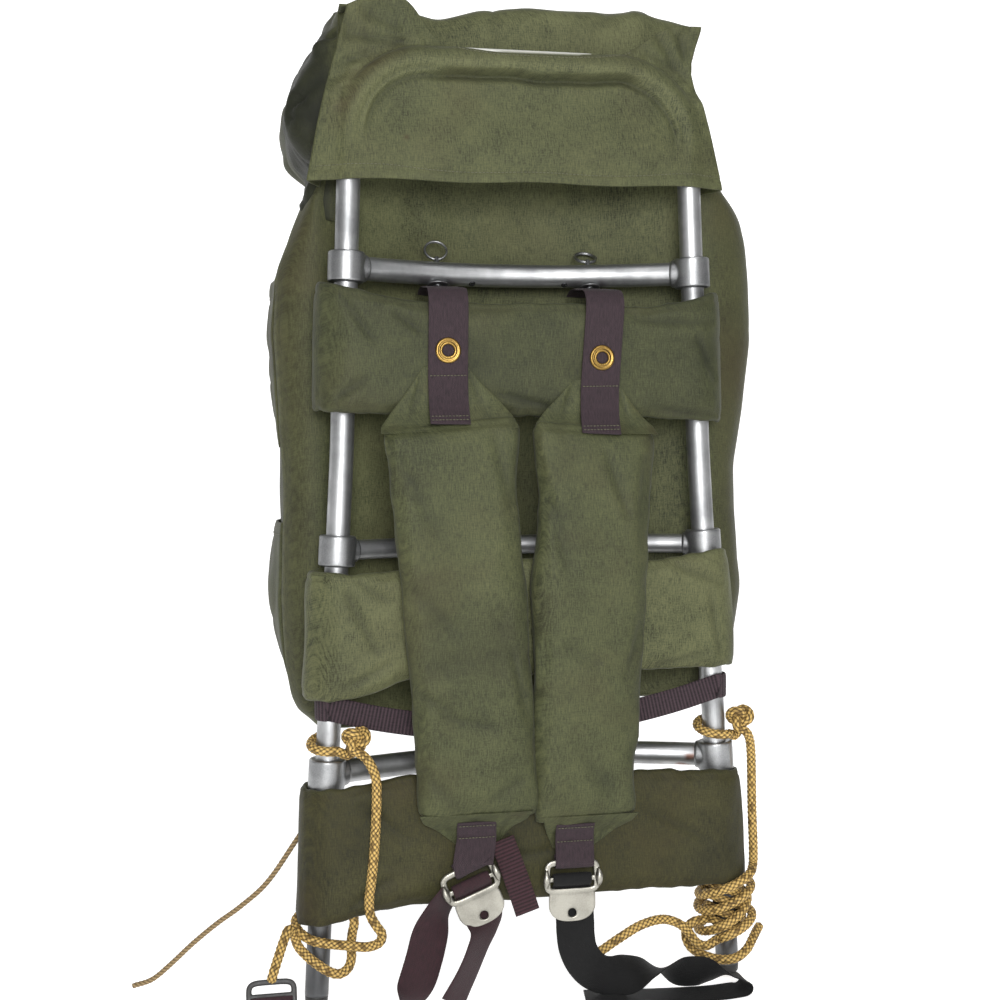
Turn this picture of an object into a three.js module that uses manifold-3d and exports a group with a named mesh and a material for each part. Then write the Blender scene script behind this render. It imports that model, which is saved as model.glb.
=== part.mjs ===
// External-frame hiking pack with a cloth bag, padded bands, a shoulder harness and rope lashings.
// Millimetres, +Z up, +X to the right of the harness side, +Y from the harness towards the bag.
// The origin is the middle of the line between the two upper couplings, where the pack is hung up.
import * as THREE from "three";
import { mergeVertices } from "three/addons/utils/BufferGeometryUtils.js";
import Module from "manifold-3d";

const wasm = await Module();
wasm.setup();

// Clearance between neighbouring pieces
const GAP = 0.3;
// Length of a tool that cuts right through a tube or a strap
const CUT = 60;
// Webbing is one and a quarter inches wide, the tube three quarters of an inch across
const WEB = { width: 31.75, thick: 1.6 };
const RIBBED = { width: 20, thick: 1.8 };
const CLOTH = 1.6;

// Frame tube: half the distance between the uprights at each height
const TUBE = { radius: 19.05 / 2, sides: 10, topZ: 166, cornerRadius: 62, cornerSteps: 5, footZ: -583 };
const RAIL_ROWS = [
  { z: 104, half: 140.5 },
  { z: 60, half: 141.7 },
  { z: -150, half: 149 },
  { z: -360, half: 161 },
  { z: -560, half: 172.5 },
  { z: -600, half: 174.5 },
];
const FOOT_CAP = { radius: 9.2, soleRadius: 7.4, height: 7 };

// Crossbars bow away from the wearer by the same amount
const BAR_BOW = 38;
const BAR_STEPS = 8;
const BAR_ROWS = [
  { name: "upper", z: 0, radius: 19.05 / 2 },
  { name: "middle", z: -226, radius: 15.9 / 2 },
  { name: "lower", z: -405, radius: 19.05 / 2 },
];
const COUPLING = { radius: 14.3, height: 25, stub: 17.6, stubWall: 3, sides: 10, seat: 10.6 };

// Padded bands round the uprights, with how far each end hangs loose outside its upright
const BAND_ROWS = [
  { name: "back_band_upper", top: -21, bottom: -124, front: 11, wrap: 6.5, looseLeft: 4, looseRight: 0 },
  { name: "back_band_middle", top: -231, bottom: -333, front: 11, wrap: 6.5, looseLeft: 4, looseRight: 0 },
  { name: "hip_band", top: -411, bottom: -513, front: 11.5, wrap: 6.5, looseLeft: 1, looseRight: 0 },
];
const BAND = { hook: 1, inside: 14.8, arcSteps: 5, frontSteps: 4, inset: 8, edge: 5 };

// Shoulder pads: edges seen from the front and thickness, from the pointed top end to the bottom one
const PAD = { back: -27, sides: 10 };
const PAD_LEFT = [
  { z: -85, left: -87, right: -54, thick: 2.4 },
  { z: -118, left: -113, right: -24, thick: 3.2 },
  { z: -131, left: -121.5, right: -14, thick: 9 },
  { z: -142, left: -122.5, right: -11.5, thick: 17 },
  { z: -172, left: -119, right: -12.5, thick: 21 },
  { z: -217, left: -114.5, right: -14, thick: 22 },
  { z: -260, left: -111, right: -10.5, thick: 22 },
  { z: -323, left: -106, right: -8.2, thick: 22 },
  { z: -390, left: -100.5, right: -5, thick: 21 },
  { z: -426, left: -97, right: -3.4, thick: 17 },
  { z: -437, left: -92, right: -6, thick: 10 },
  { z: -445, left: -81, right: -20, thick: 3.6 },
  { z: -459, left: -64, right: -31, thick: 2.4 },
];
const PAD_RIGHT = [
  { z: -95, left: 37, right: 71, thick: 2.4 },
  { z: -121, left: 10, right: 91, thick: 3.2 },
  { z: -131, left: 1, right: 100, thick: 9 },
  { z: -142, left: -1, right: 102, thick: 17 },
  { z: -172, left: -1.6, right: 99.5, thick: 21 },
  { z: -217, left: -3, right: 97, thick: 22 },
  { z: -260, left: -7.4, right: 94, thick: 22 },
  { z: -323, left: -5.6, right: 90, thick: 22 },
  { z: -390, left: -1.5, right: 86.5, thick: 21 },
  { z: -432, left: 3, right: 84, thick: 17 },
  { z: -443, left: 5, right: 80, thick: 10 },
  { z: -452, left: 8, right: 66, thick: 3.6 },
  { z: -467, left: 14.5, right: 48, thick: 2.4 },
];

// Upper tabs: where each meets the bar and where it ends on its pad
const HARNESS_ROWS = [
  { side: "left", barX: -66.3, tabEndX: -68.6, tabEndZ: -126, grommetZ: -68, ringTilt: 0.5 },
  { side: "right", barX: 65, tabEndX: 50.4, tabEndZ: -132, grommetZ: -73, ringTilt: 1.35 },
];
const PIN = { radius: 2.2, bore: 2.6, slope: 1.3, behind: 15, front: 12, eye: 1.6, eyeAt: 12.6 };
const SPARE = { places: [-36, 40], slope: 0.55, radius: 2 };
const TAB_FRONT = -31;
const WASHER = { radius: 9, thick: 1.2 };
const RING = { radius: 9.2, wire: 0.9 };
const GROMMET = { flange: 10.3, hole: 4.75, barrel: 5.6, proud: 1.5 };

// Buckles: a frame with two slots above a plate with a round end
const BUCKLE = { width: 45, top: 16, plateWidth: 33, plateTop: -7, plateEnd: -34, thick: 2, corner: 3.5 };
const SLOT = { width: 36, upperTop: 12, upperBottom: 2.4, lowerTop: -1.6, lowerBottom: -7.6 };
const BUCKLE_EYE = { z: -27, radius: 3.3 };
const LUG = { thick: 2, deep: 6, top: 8, bottom: -4 };
const BUCKLE_ROWS = [
  { side: "left", x: -53, y: -38, z: -490.5, turn: 0.38, tabX: -48.5, tabTopZ: -440 },
  { side: "right", x: 29, y: -38, z: -491.5, turn: 0, tabX: 31.5, tabTopZ: -446 },
];

// Routes of the straps to the feet: places, and the way their width points
const ADJUSTER_RIGHT = [
  { at: [29, -32.8, -509], wide: [1, 0, 0] },
  { at: [29.5, -32.2, -528], wide: [1, 0, 0] },
  { at: [31, -31, -546], wide: [1, 0, 0.12] },
  { at: [39, -29, -560], wide: [0.86, 0, 0.5] },
  { at: [54, -27, -568], wide: [0.5, 0, 0.86] },
  { at: [76, -24.5, -572], wide: [0.12, 0.1, 1] },
  { at: [110, -19.5, -573], wide: [0, 0.1, 1] },
  { at: [150, -13.6, -573], wide: [0, 0, 1] },
  { at: [174, -11.2, -573], wide: [0, 0, 1] },
  { at: [183, -6.2, -573], wide: [0, 0, 1] },
  { at: [185, 0, -573], wide: [0, 0, 1] },
  { at: [183, 6.2, -573], wide: [0, 0, 1] },
  { at: [174, 11.2, -573], wide: [0, 0, 1] },
  { at: [150, 17, -574], wide: [0, 0.15, 1] },
];
const ADJUSTER_LEFT_END = [
  { at: [-71, -35, -548], wide: [1, -0.35, 0.1] },
  { at: [-74, -46, -583], wide: [0.9, -0.6, 0] },
];
const ANCHOR_LEFT = [
  { at: [-214, -44, -584.6], wide: [0, 1, 0] },
  { at: [-204, -44.5, -584.6], wide: [0, 1, 0] },
  { at: [-190, -45.5, -587.6], wide: [0, 1, 0] },
  { at: [-165, -47, -588.2], wide: [0, 1, 0] },
  { at: [-130, -50, -586.8], wide: [0.2, 1, 0.05] },
  { at: [-107, -50, -577], wide: [0.8, 0.7, 0.1] },
  { at: [-97, -45, -556], wide: [0.9, 0.3, -0.3] },
  { at: [-84, -37, -532], wide: [0.88, 0.3, -0.4] },
  { at: [-73, -32, -512], wide: [0.86, 0.1, -0.5] },
  { at: [-63, -30.4, -497], wide: [0.86, 0, -0.5] },
];
const TAIL_LEFT = [
  { at: [-22, -33, -446], wide: [1, 0, 0.25] },
  { at: [-21, -33.4, -455], wide: [1, 0, 0.25] },
  { at: [-17.5, -35, -470], wide: [1, 0, 0.25] },
  { at: [-13.5, -37, -494], wide: [1, 0, 0.25] },
  { at: [-10, -37, -514], wide: [1, 0, 0.25] },
];
const SLIDE = { x: -216, y: -44, z: -587.6, width: 40, length: 26, thick: 3.4, bar: 5 };
const SLIDE_SLOT = { width: 34, length: 6 };

// Ribbed strap across the frame, with its sag
const FRAME_STRAP = { leftZ: -351, rightZ: -345, sag: 24, hook: 30, steps: 8 };

// Bag sections from the mouth down: half width and how far the front stands behind the frame
const BAG_ROWS = [
  { z: 150, half: 168, front: 205 },
  { z: 100, half: 175, front: 212 },
  { z: 44, half: 180, front: 217 },
  { z: -10, half: 187, front: 221 },
  { z: -70, half: 191, front: 225 },
  { z: -150, half: 194, front: 230 },
  { z: -200, half: 192, front: 233 },
  { z: -265, half: 196, front: 233 },
  { z: -325, half: 194, front: 228 },
  { z: -352, half: 190, front: 221 },
  { z: -366, half: 180, front: 207 },
  { z: -372, half: 164, front: 186 },
];
const BAG = { panelEdge: 165, panelY: 22, panelBow: 38, cornerY: 40, backSteps: 8, sideSteps: 14, wall: 1.8 };
const BAG_BLUNT = { x: 0.5, y: 0.6 };

// Side pockets on the bag, each with an open top edge
const POCKET_ROWS = [
  { name: "pocket_upper_left", side: -1, top: 6, bottom: -145, bulge: 17 },
  { name: "pocket_lower_left", side: -1, top: -188, bottom: -325, bulge: 18 },
  { name: "pocket_upper_right", side: 1, top: 50, bottom: -145, bulge: 26 },
  { name: "pocket_lower_right", side: 1, top: -205, bottom: -325, bulge: 14 },
];
const POCKET = { nearY: 50, farY: 172, stepsY: 6, stepsZ: 5, stand: 1, mouth: 0.55, fullest: 0.45 };

// Sleeve of cloth over the top of the frame: its outline and the height of its upper edge across the frame
const SLEEVE = { front: -14, hemMiddle: 67.5, hemSlope: 0.026, edgeY: -9.6, curl: 9 };
const SLEEVE_FRONT = { steps: 12, share: 0.94, edgeHalf: 140 };
const SLEEVE_LEVELS = [0, 0.25, 0.5, 0.7, 0.84, 0.93, 1];
// Turn of the sleeve round an upright, from its back edge to its front: share of the half width, and place
const SLEEVE_SIDE = [
  { share: 0.955, y: 21 },
  { share: 0.99, y: 13 },
  { share: 1, y: 2 },
  { share: 0.985, y: -8 },
];
const SLEEVE_LEFT = [
  { z: 210, half: 136 },
  { z: 197, half: 139 },
  { z: 165, half: 149 },
  { z: 145, half: 157 },
  { z: 116, half: 164 },
  { z: 60, half: 176 },
];
const SLEEVE_RIGHT = [
  { z: 200, half: 149 },
  { z: 180, half: 146 },
  { z: 157, half: 145 },
  { z: 139, half: 148 },
  { z: 89, half: 158 },
  { z: 70, half: 167 },
];
const SLEEVE_EDGE = [
  { x: 150, z: 197, lean: 12 },
  { x: 136, z: 191, lean: 12 },
  { x: 118, z: 184, lean: 10 },
  { x: 98, z: 179, lean: 6 },
  { x: 70, z: 174.6, lean: 1 },
  { x: 36, z: 173, lean: 0 },
  { x: -20, z: 173, lean: 0 },
  { x: -50, z: 176, lean: 3 },
  { x: -74, z: 182, lean: 8 },
  { x: -88, z: 199, lean: 11 },
  { x: -102, z: 207, lean: 12 },
  { x: -120, z: 208, lean: 12 },
  { x: -140, z: 204, lean: 12 },
];

// Lid over the mouth: its path from the back edge over the top and down the front, and its crest across
const LID_PATH = [
  { y: 22.6, z: 177 },
  { y: 30, z: 203 },
  { y: 42, z: 218 },
  { y: 70, z: 226 },
  { y: 120, z: 228 },
  { y: 170, z: 222 },
  { y: 208, z: 204 },
  { y: 228, z: 172 },
  { y: 236, z: 128 },
  { y: 238, z: 84 },
  { y: 237, z: 58 },
];
const LID = { flat: 150, half: 188, flatSteps: 10, sideSteps: 3, leftEnd: 62, rightEnd: 104, leastFall: 6 };
const LID_CREST = [
  { x: 150, rise: -6 },
  { x: 124, rise: 8 },
  { x: 90, rise: 2 },
  { x: -10, rise: -4 },
  { x: -66, rise: -14 },
  { x: -128, rise: 5 },
  { x: -150, rise: -12 },
];

// Ropes and cord: thickness, and their routes as points
const ROPE = { radius: 3.6, sides: 8 };
const CORD = { radius: 2.2, sides: 8 };
const ROPE_RUN_LEFT = [
  [-148.4, -11.6, -383],
  [-141, -18, -385],
  [-131, -25, -392],
  [-126, -29.2, -405],
  [-127.5, -30.6, -418],
  [-130, -30.8, -440],
  [-130, -30.8, -477],
  [-135, -30.8, -504],
  [-140, -29, -516],
  [-150, -22, -524],
  [-159.8, -13.9, -528.4],
];
const ROPE_LASH_LEFT = [
  [-189.2, -4, -541],
  [-194, -6, -543],
  [-203, -15, -553],
  [-214, -27, -568],
  [-220, -37, -583.4],
];
const ROPE_RUN_RIGHT = [
  [180, -6.6, -383.6],
  [186, -7, -390],
  [191.5, -6.5, -402],
  [193.2, -6, -420],
  [193.8, -5.5, -450],
  [195, -5, -488],
  [195, -5, -507],
  [193.4, -4.8, -516],
  [188.4, -4.6, -521.5],
];
const ROPE_TAIL_RIGHT = [
  [156, -6.5, -544.9],
  [149, -9.4, -546.4],
  [136, -13, -548],
  [124, -15, -545],
  [108, -16, -536],
  [83, -21, -541],
  [56, -22, -553],
  [38, -20, -561],
];
const THIN_CORD = [
  [-142, 15.5, -378],
  [-150, 21.5, -404],
  [-166, 24, -432],
  [-188, 22, -464],
  [-211, 22, -496],
  [-232, 28, -516],
  [-252, 36, -532],
  [-272, 44, -550],
  [-289, 50, -567],
  [-305, 55, -581],
  [-321, 60, -587.2],
];
const KNOT_ROWS = [
  { name: "rope_knot_left", side: -1, top: -372, bottom: -390.8 },
  { name: "rope_foot_left", side: -1, top: -516, bottom: -554 },
  { name: "rope_knot_right", side: 1, top: -372, bottom: -390.8 },
  { name: "rope_wraps_right", side: 1, top: -516, bottom: -553 },
];
const KNOT = { clear: 0.6, wall: 7.2, face: 1.5, sides: 10, steps: 3 };

const X_AXIS = new THREE.Vector3(1, 0, 0);
const Y_AXIS = new THREE.Vector3(0, 1, 0);
const Z_AXIS = new THREE.Vector3(0, 0, 1);

const MATERIALS = {
  aluminium: { color: 0xb4b6b6, roughness: 0.34, metalness: 1 },
  darkMetal: { color: 0x5d5f60, roughness: 0.5, metalness: 0.8 },
  olive: { color: 0x5c5f47, roughness: 0.75, metalness: 0 },
  hipOlive: { color: 0x4c4b38, roughness: 0.8, metalness: 0 },
  purple: { color: 0x50424a, roughness: 0.8, metalness: 0 },
  black: { color: 0x232326, roughness: 0.75, metalness: 0 },
  brass: { color: 0xbe9146, roughness: 0.35, metalness: 1 },
  gold: { color: 0xb9964f, roughness: 0.7, metalness: 0 },
  tan: { color: 0x9a8c72, roughness: 0.85, metalness: 0 },
};

const pack = new THREE.Group();
pack.name = "hiking_pack";

/** Adds a piece to the pack under its name. */
function addPiece(name, geometry, finish) {
  const mesh = new THREE.Mesh(geometry, new THREE.MeshStandardMaterial(MATERIALS[finish]));
  mesh.name = name;
  pack.add(mesh);
}

/** Reads a column of a table between its rows, whose key column falls from row to row. */
function readTable(rows, key, at, column) {
  let index = 0;
  while (index < rows.length - 2 && at < rows[index + 1][key]) {
    index += 1;
  }
  const upper = rows[index];
  const lower = rows[index + 1];
  const share = THREE.MathUtils.clamp((upper[key] - at) / (upper[key] - lower[key]), 0, 1);
  return THREE.MathUtils.lerp(upper[column], lower[column], share);
}

/** Half the distance between the uprights at a height. */
function railHalf(z) {
  return readTable(RAIL_ROWS, "z", z, "half");
}

/** The way an upright runs upwards at a height. */
function railDirection(side, z) {
  const step = 20;
  return new THREE.Vector3(side * (railHalf(z + step) - railHalf(z - step)), 0, 2 * step).normalize();
}

/** A closed body from points and triangles, turned so that its faces look outwards. */
function closedBody(points, triangles) {
  let volume = 0;
  const edge = new THREE.Vector3();
  for (const [a, b, c] of triangles) {
    volume += points[a].dot(edge.crossVectors(points[b], points[c]));
  }
  const faces = volume < 0 ? triangles.map(([a, b, c]) => [a, c, b]) : triangles;
  const geometry = new THREE.BufferGeometry();
  const places = points.flatMap((point) => point.toArray());
  geometry.setAttribute("position", new THREE.Float32BufferAttribute(places, 3));
  geometry.setIndex(faces.flat());
  return geometry;
}

/** Triangles between rings that lie one after another in a list of points. */
function ringTriangles(ringCount, sides, first = 0, flip = false) {
  const triangles = [];
  for (let ring = 0; ring + 1 < ringCount; ring += 1) {
    for (let side = 0; side < sides; side += 1) {
      const a = first + ring * sides + side;
      const b = first + ring * sides + (side + 1) % sides;
      triangles.push([a, b, a + sides], [b, b + sides, a + sides]);
    }
  }
  return flip ? triangles.map(([a, b, c]) => [a, c, b]) : triangles;
}

/** Closes a ring with a fan round its middle, which is added to the points. */
function capTriangles(points, first, sides, flip) {
  const middle = new THREE.Vector3();
  for (let side = 0; side < sides; side += 1) {
    middle.addScaledVector(points[first + side], 1 / sides);
  }
  const centre = points.push(middle) - 1;
  const triangles = [];
  for (let side = 0; side < sides; side += 1) {
    const next = first + (side + 1) % sides;
    triangles.push(flip ? [centre, first + side, next] : [centre, next, first + side]);
  }
  return triangles;
}

/** A solid through rings of points, closed at both ends. */
function loft(rings) {
  const sides = rings[0].length;
  const points = rings.flat();
  const last = (rings.length - 1) * sides;
  const triangles = ringTriangles(rings.length, sides);
  triangles.push(...capTriangles(points, 0, sides, false));
  triangles.push(...capTriangles(points, last, sides, true));
  return closedBody(points, triangles);
}

/** A tube along points, its section kept upright to one axis. */
function tubeAlong(points, radius, sides, upright) {
  const rings = points.map((point, index) => {
    const before = points[Math.max(index - 1, 0)];
    const after = points[Math.min(index + 1, points.length - 1)];
    const along = after.clone().sub(before).normalize();
    const across = new THREE.Vector3().crossVectors(along, upright).normalize();
    const up = new THREE.Vector3().crossVectors(across, along);
    return Array.from({ length: sides }, (_, side) => {
      const angle = (2 * Math.PI * (side + 0.5)) / sides;
      return point.clone()
        .addScaledVector(across, radius * Math.cos(angle))
        .addScaledVector(up, radius * Math.sin(angle));
    });
  });
  return loft(rings);
}

/** A smooth curve through points given as lists of three. */
function curveThrough(points, kind) {
  return new THREE.CatmullRomCurve3(points.map((point) => new THREE.Vector3(...point)), false, kind);
}

/** A round cord along a route of points. */
function cordAlong(route, radius, sides, steps) {
  const curve = curveThrough(route, "centripetal");
  const section = new THREE.Shape(Array.from({ length: sides }, (_, side) => {
    const angle = (2 * Math.PI * side) / sides;
    return new THREE.Vector2(radius * Math.cos(angle), radius * Math.sin(angle));
  }));
  return new THREE.ExtrudeGeometry(section, { steps, extrudePath: curve, bevelEnabled: false });
}

/** A flat strap through places, each with the way its width points, smoothed between them. */
function strapAlong(places, { width, thick }, stepsPerPlace = 2) {
  const route = curveThrough(places.map((row) => row.at), "centripetal");
  const spread = curveThrough(places.map((row) => row.wide), "catmullrom");
  const steps = Math.round(stepsPerPlace * (places.length - 1));
  const rings = [];
  for (let step = 0; step <= steps; step += 1) {
    const share = step / steps;
    const point = route.getPoint(share);
    const along = route.getTangent(share);
    const wide = spread.getPoint(share);
    wide.addScaledVector(along, -wide.dot(along)).normalize();
    const face = new THREE.Vector3().crossVectors(along, wide).normalize();
    const corners = [[-1, -1], [1, -1], [1, 1], [-1, 1]];
    rings.push(corners.map(([w, t]) => point.clone()
      .addScaledVector(wide, (w * width) / 2)
      .addScaledVector(face, (t * thick) / 2)));
  }
  return loft(rings);
}

/** A wall of even thickness behind a grid of points, on the side that depth's sign gives. */
function thickSheet(grid, depth) {
  const rows = grid.length;
  const columns = grid[0].length;
  const points = grid.flat();
  const count = points.length;
  const normal = new THREE.Vector3();
  for (let row = 0; row < rows; row += 1) {
    for (let column = 0; column < columns; column += 1) {
      const along = grid[Math.min(row + 1, rows - 1)][column].clone().sub(grid[Math.max(row - 1, 0)][column]);
      const across = grid[row][Math.min(column + 1, columns - 1)].clone();
      across.sub(grid[row][Math.max(column - 1, 0)]);
      normal.crossVectors(across, along).normalize();
      points.push(grid[row][column].clone().addScaledVector(normal, depth));
    }
  }
  const triangles = [];
  for (let row = 0; row + 1 < rows; row += 1) {
    for (let column = 0; column + 1 < columns; column += 1) {
      const a = row * columns + column;
      const b = a + columns;
      triangles.push([a, a + 1, b], [a + 1, b + 1, b]);
      triangles.push([count + a, count + b, count + a + 1], [count + a + 1, count + b, count + b + 1]);
    }
  }
  const rim = [];
  for (let column = 0; column + 1 < columns; column += 1) rim.push(column);
  for (let row = 0; row + 1 < rows; row += 1) rim.push(row * columns + columns - 1);
  for (let column = columns - 1; column > 0; column -= 1) rim.push((rows - 1) * columns + column);
  for (let row = rows - 1; row > 0; row -= 1) rim.push(row * columns);
  rim.forEach((a, index) => {
    const b = rim[(index + 1) % rim.length];
    triangles.push([b, a, count + a], [b, count + a, count + b]);
  });
  return closedBody(points, triangles);
}

/** A solid for cutting and joining from a closed mesh. */
function solidOf(geometry) {
  const bare = geometry.clone();
  bare.deleteAttribute("normal");
  bare.deleteAttribute("uv");
  const merged = mergeVertices(bare, 1e-4);
  return new wasm.Manifold(new wasm.Mesh({
    numProp: 3,
    vertProperties: new Float32Array(merged.attributes.position.array),
    triVerts: new Uint32Array(merged.index.array),
  }));
}

/** The mesh of a solid. */
function meshOf(solid) {
  const mesh = solid.getMesh();
  const geometry = new THREE.BufferGeometry();
  geometry.setAttribute("position", new THREE.Float32BufferAttribute(mesh.vertProperties, 3));
  geometry.setIndex(Array.from(mesh.triVerts));
  return geometry;
}

/** A round bar of a length round a middle point, along a direction. */
function roundBar(radius, length, sides, middle, direction) {
  const geometry = new THREE.CylinderGeometry(radius, radius, length, sides);
  geometry.applyQuaternion(new THREE.Quaternion().setFromUnitVectors(Y_AXIS, direction));
  return geometry.translate(middle.x, middle.y, middle.z);
}

/** The tube bent to an inverted U, with caps on its feet. */
function buildHoop() {
  const left = [TUBE.footZ, ...RAIL_ROWS.map((row) => row.z).filter((z) => z > TUBE.footZ).reverse()];
  const points = left.map((z) => new THREE.Vector3(-railHalf(z), 0, z));
  const cornerX = railHalf(RAIL_ROWS[0].z) - TUBE.cornerRadius;
  const cornerZ = TUBE.topZ - TUBE.cornerRadius;
  for (let step = 1; step <= TUBE.cornerSteps; step += 1) {
    const angle = (Math.PI / 2) * (step / TUBE.cornerSteps);
    const x = -cornerX - TUBE.cornerRadius * Math.cos(angle);
    points.push(new THREE.Vector3(x, 0, cornerZ + TUBE.cornerRadius * Math.sin(angle)));
  }
  const right = points.map((point) => new THREE.Vector3(-point.x, 0, point.z)).reverse();
  addPiece("frame_hoop", tubeAlong([...points, ...right], TUBE.radius, TUBE.sides, Y_AXIS), "aluminium");

  for (const [name, side] of [["left", -1], ["right", 1]]) {
    const top = -GAP;
    const profile = [[0, top], [FOOT_CAP.radius, top], [FOOT_CAP.radius, top - FOOT_CAP.height * 0.7],
      [FOOT_CAP.soleRadius, top - FOOT_CAP.height], [0, top - FOOT_CAP.height]];
    const outline = profile.reverse().map(([x, y]) => new THREE.Vector2(x, y));
    const cap = new THREE.LatheGeometry(outline, TUBE.sides);
    cap.rotateX(Math.PI / 2).translate(side * railHalf(TUBE.footZ), 0, TUBE.footZ - GAP);
    addPiece(`foot_cap_${name}`, cap, "darkMetal");
  }
}

/** How far back a crossbar's axis lies at a place across the frame. */
function barBow(x, half) {
  return BAR_BOW * (1 - (x / half) ** 2);
}

/** The way the upper bar runs at a place across the frame. */
function barDirection(x) {
  return new THREE.Vector3(1, (-2 * BAR_BOW * x) / railHalf(0) ** 2, 0).normalize();
}

/** The way of a hole through the upper bar, rising from its front by an angle. */
function holeDirection(x, slope) {
  const back = new THREE.Vector3().crossVectors(Z_AXIS, barDirection(x));
  return back.multiplyScalar(Math.cos(slope)).addScaledVector(Z_AXIS, Math.sin(slope));
}

/** The middle of a hole in the upper bar. */
function holeMiddle(x) {
  return new THREE.Vector3(x, barBow(x, railHalf(0)), 0);
}

/** Crossbars and the T couplings that join them to the uprights. */
function buildBars() {
  for (const bar of BAR_ROWS) {
    const half = railHalf(bar.z);
    const reach = half - COUPLING.seat;
    const points = Array.from({ length: BAR_STEPS + 1 }, (_, step) => {
      const x = reach * ((2 * step) / BAR_STEPS - 1);
      return new THREE.Vector3(x, barBow(x, half), bar.z);
    });
    let geometry = tubeAlong(points, bar.radius, TUBE.sides, Z_AXIS);
    if (bar.name === "upper") {
      let solid = solidOf(geometry);
      for (const x of SPARE.places) {
        const hole = roundBar(SPARE.radius, CUT, 6, holeMiddle(x), holeDirection(x, SPARE.slope));
        solid = solid.subtract(solidOf(hole));
      }
      for (const { barX } of HARNESS_ROWS) {
        const hole = roundBar(PIN.bore, CUT, 6, holeMiddle(barX), holeDirection(barX, PIN.slope));
        solid = solid.subtract(solidOf(hole));
      }
      geometry = meshOf(solid);
    }
    addPiece(`crossbar_${bar.name}`, geometry, "aluminium");

    for (const [name, side] of [["left", -1], ["right", 1]]) {
      const middle = new THREE.Vector3(side * half, 0, bar.z);
      const up = railDirection(side, bar.z);
      const inner = side < 0 ? points[0] : points[BAR_STEPS];
      const inward = (side < 0 ? points[1] : points[BAR_STEPS - 1]).clone().sub(inner).normalize();
      const stubMiddle = middle.clone().addScaledVector(inward, COUPLING.stub / 2);
      const ring = roundBar(COUPLING.radius, COUPLING.height, COUPLING.sides, middle, up);
      const stubRadius = bar.radius + COUPLING.stubWall;
      const stub = roundBar(stubRadius, COUPLING.stub, COUPLING.sides, stubMiddle, inward);
      const railBore = roundBar(TUBE.radius + 2 * GAP, CUT, COUPLING.sides, middle, up);
      const boreMiddle = inner.clone().addScaledVector(inward, CUT / 2 - GAP);
      const barBore = roundBar(bar.radius + 2 * GAP, CUT, COUPLING.sides, boreMiddle, inward);
      const body = solidOf(ring).add(solidOf(stub)).subtract(solidOf(railBore)).subtract(solidOf(barBore));
      addPiece(`coupling_${bar.name}_${name}`, meshOf(body), "aluminium");
    }
  }
}

/** Stations of a band in plan at a height: place on its middle line, outward way and thickness. */
function bandPlan(band, z) {
  const half = railHalf(z);
  const radius = BAND.inside + band.wrap / 2;
  const frontY = -(BAND.inside + band.front / 2);
  const stations = [];
  const addEnd = (side, loose, outwards) => {
    const centre = side * (half + loose);
    const end = [{ x: side * (half - BAND.hook), y: radius, nx: 0, ny: 1, thick: band.wrap * 0.7 }];
    for (let step = 0; step <= BAND.arcSteps; step += 1) {
      const angle = Math.PI / 2 + (side < 0 ? 1 : -1) * Math.PI * (step / BAND.arcSteps);
      const nx = Math.cos(angle);
      const ny = Math.sin(angle);
      end.push({ x: centre + radius * nx, y: radius * ny, nx, ny, thick: band.wrap });
    }
    stations.push(...(outwards ? end : end.reverse()));
  };
  addEnd(-1, band.looseLeft, true);
  for (let step = 1; step < BAND.frontSteps; step += 1) {
    const x = (half - BAND.inset) * ((2 * step) / BAND.frontSteps - 1);
    stations.push({ x, y: frontY, nx: 0, ny: -1, thick: band.front });
  }
  addEnd(1, band.looseRight, false);
  return stations;
}

/** Padded bands wrapped round both uprights. */
function buildBands() {
  for (const band of BAND_ROWS) {
    const levels = [
      { z: band.top, thin: 0.45 },
      { z: band.top - BAND.edge, thin: 0.92 },
      { z: (band.top + band.bottom) / 2, thin: 1 },
      { z: band.bottom + BAND.edge, thin: 0.92 },
      { z: band.bottom, thin: 0.45 },
    ];
    const plans = levels.map((level) => bandPlan(band, level.z));
    const rings = plans[0].map((_, index) => {
      const side = (sign) => levels.map((level, row) => {
        const { x, y, nx, ny, thick } = plans[row][index];
        const out = (sign * thick * level.thin) / 2;
        return new THREE.Vector3(x + nx * out, y + ny * out, level.z);
      });
      return [...side(1), ...side(-1).reverse()];
    });
    addPiece(band.name, loft(rings), band.name === "hip_band" ? "hipOlive" : "olive");
  }
}

/** Padded shoulder straps, flat behind and round in front. */
function buildPads() {
  for (const [name, rows] of [["left", PAD_LEFT], ["right", PAD_RIGHT]]) {
    const rings = rows.map((row) => Array.from({ length: PAD.sides }, (_, side) => {
      const angle = (2 * Math.PI * side) / PAD.sides;
      const blunt = (value, power) => Math.sign(value) * Math.abs(value) ** power;
      const x = (row.left + row.right) / 2 + ((row.right - row.left) / 2) * blunt(Math.cos(angle), 0.45);
      const y = PAD.back - (row.thick / 2) * (1 - blunt(Math.sin(angle), 0.75));
      return new THREE.Vector3(x, y, row.z);
    }));
    addPiece(`shoulder_pad_${name}`, loft(rings), "olive");
  }
}

/** Front of a shoulder pad at a height, on its middle line. */
function padFront(rows, z) {
  return PAD.back - readTable(rows, "z", z, "thick");
}

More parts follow.
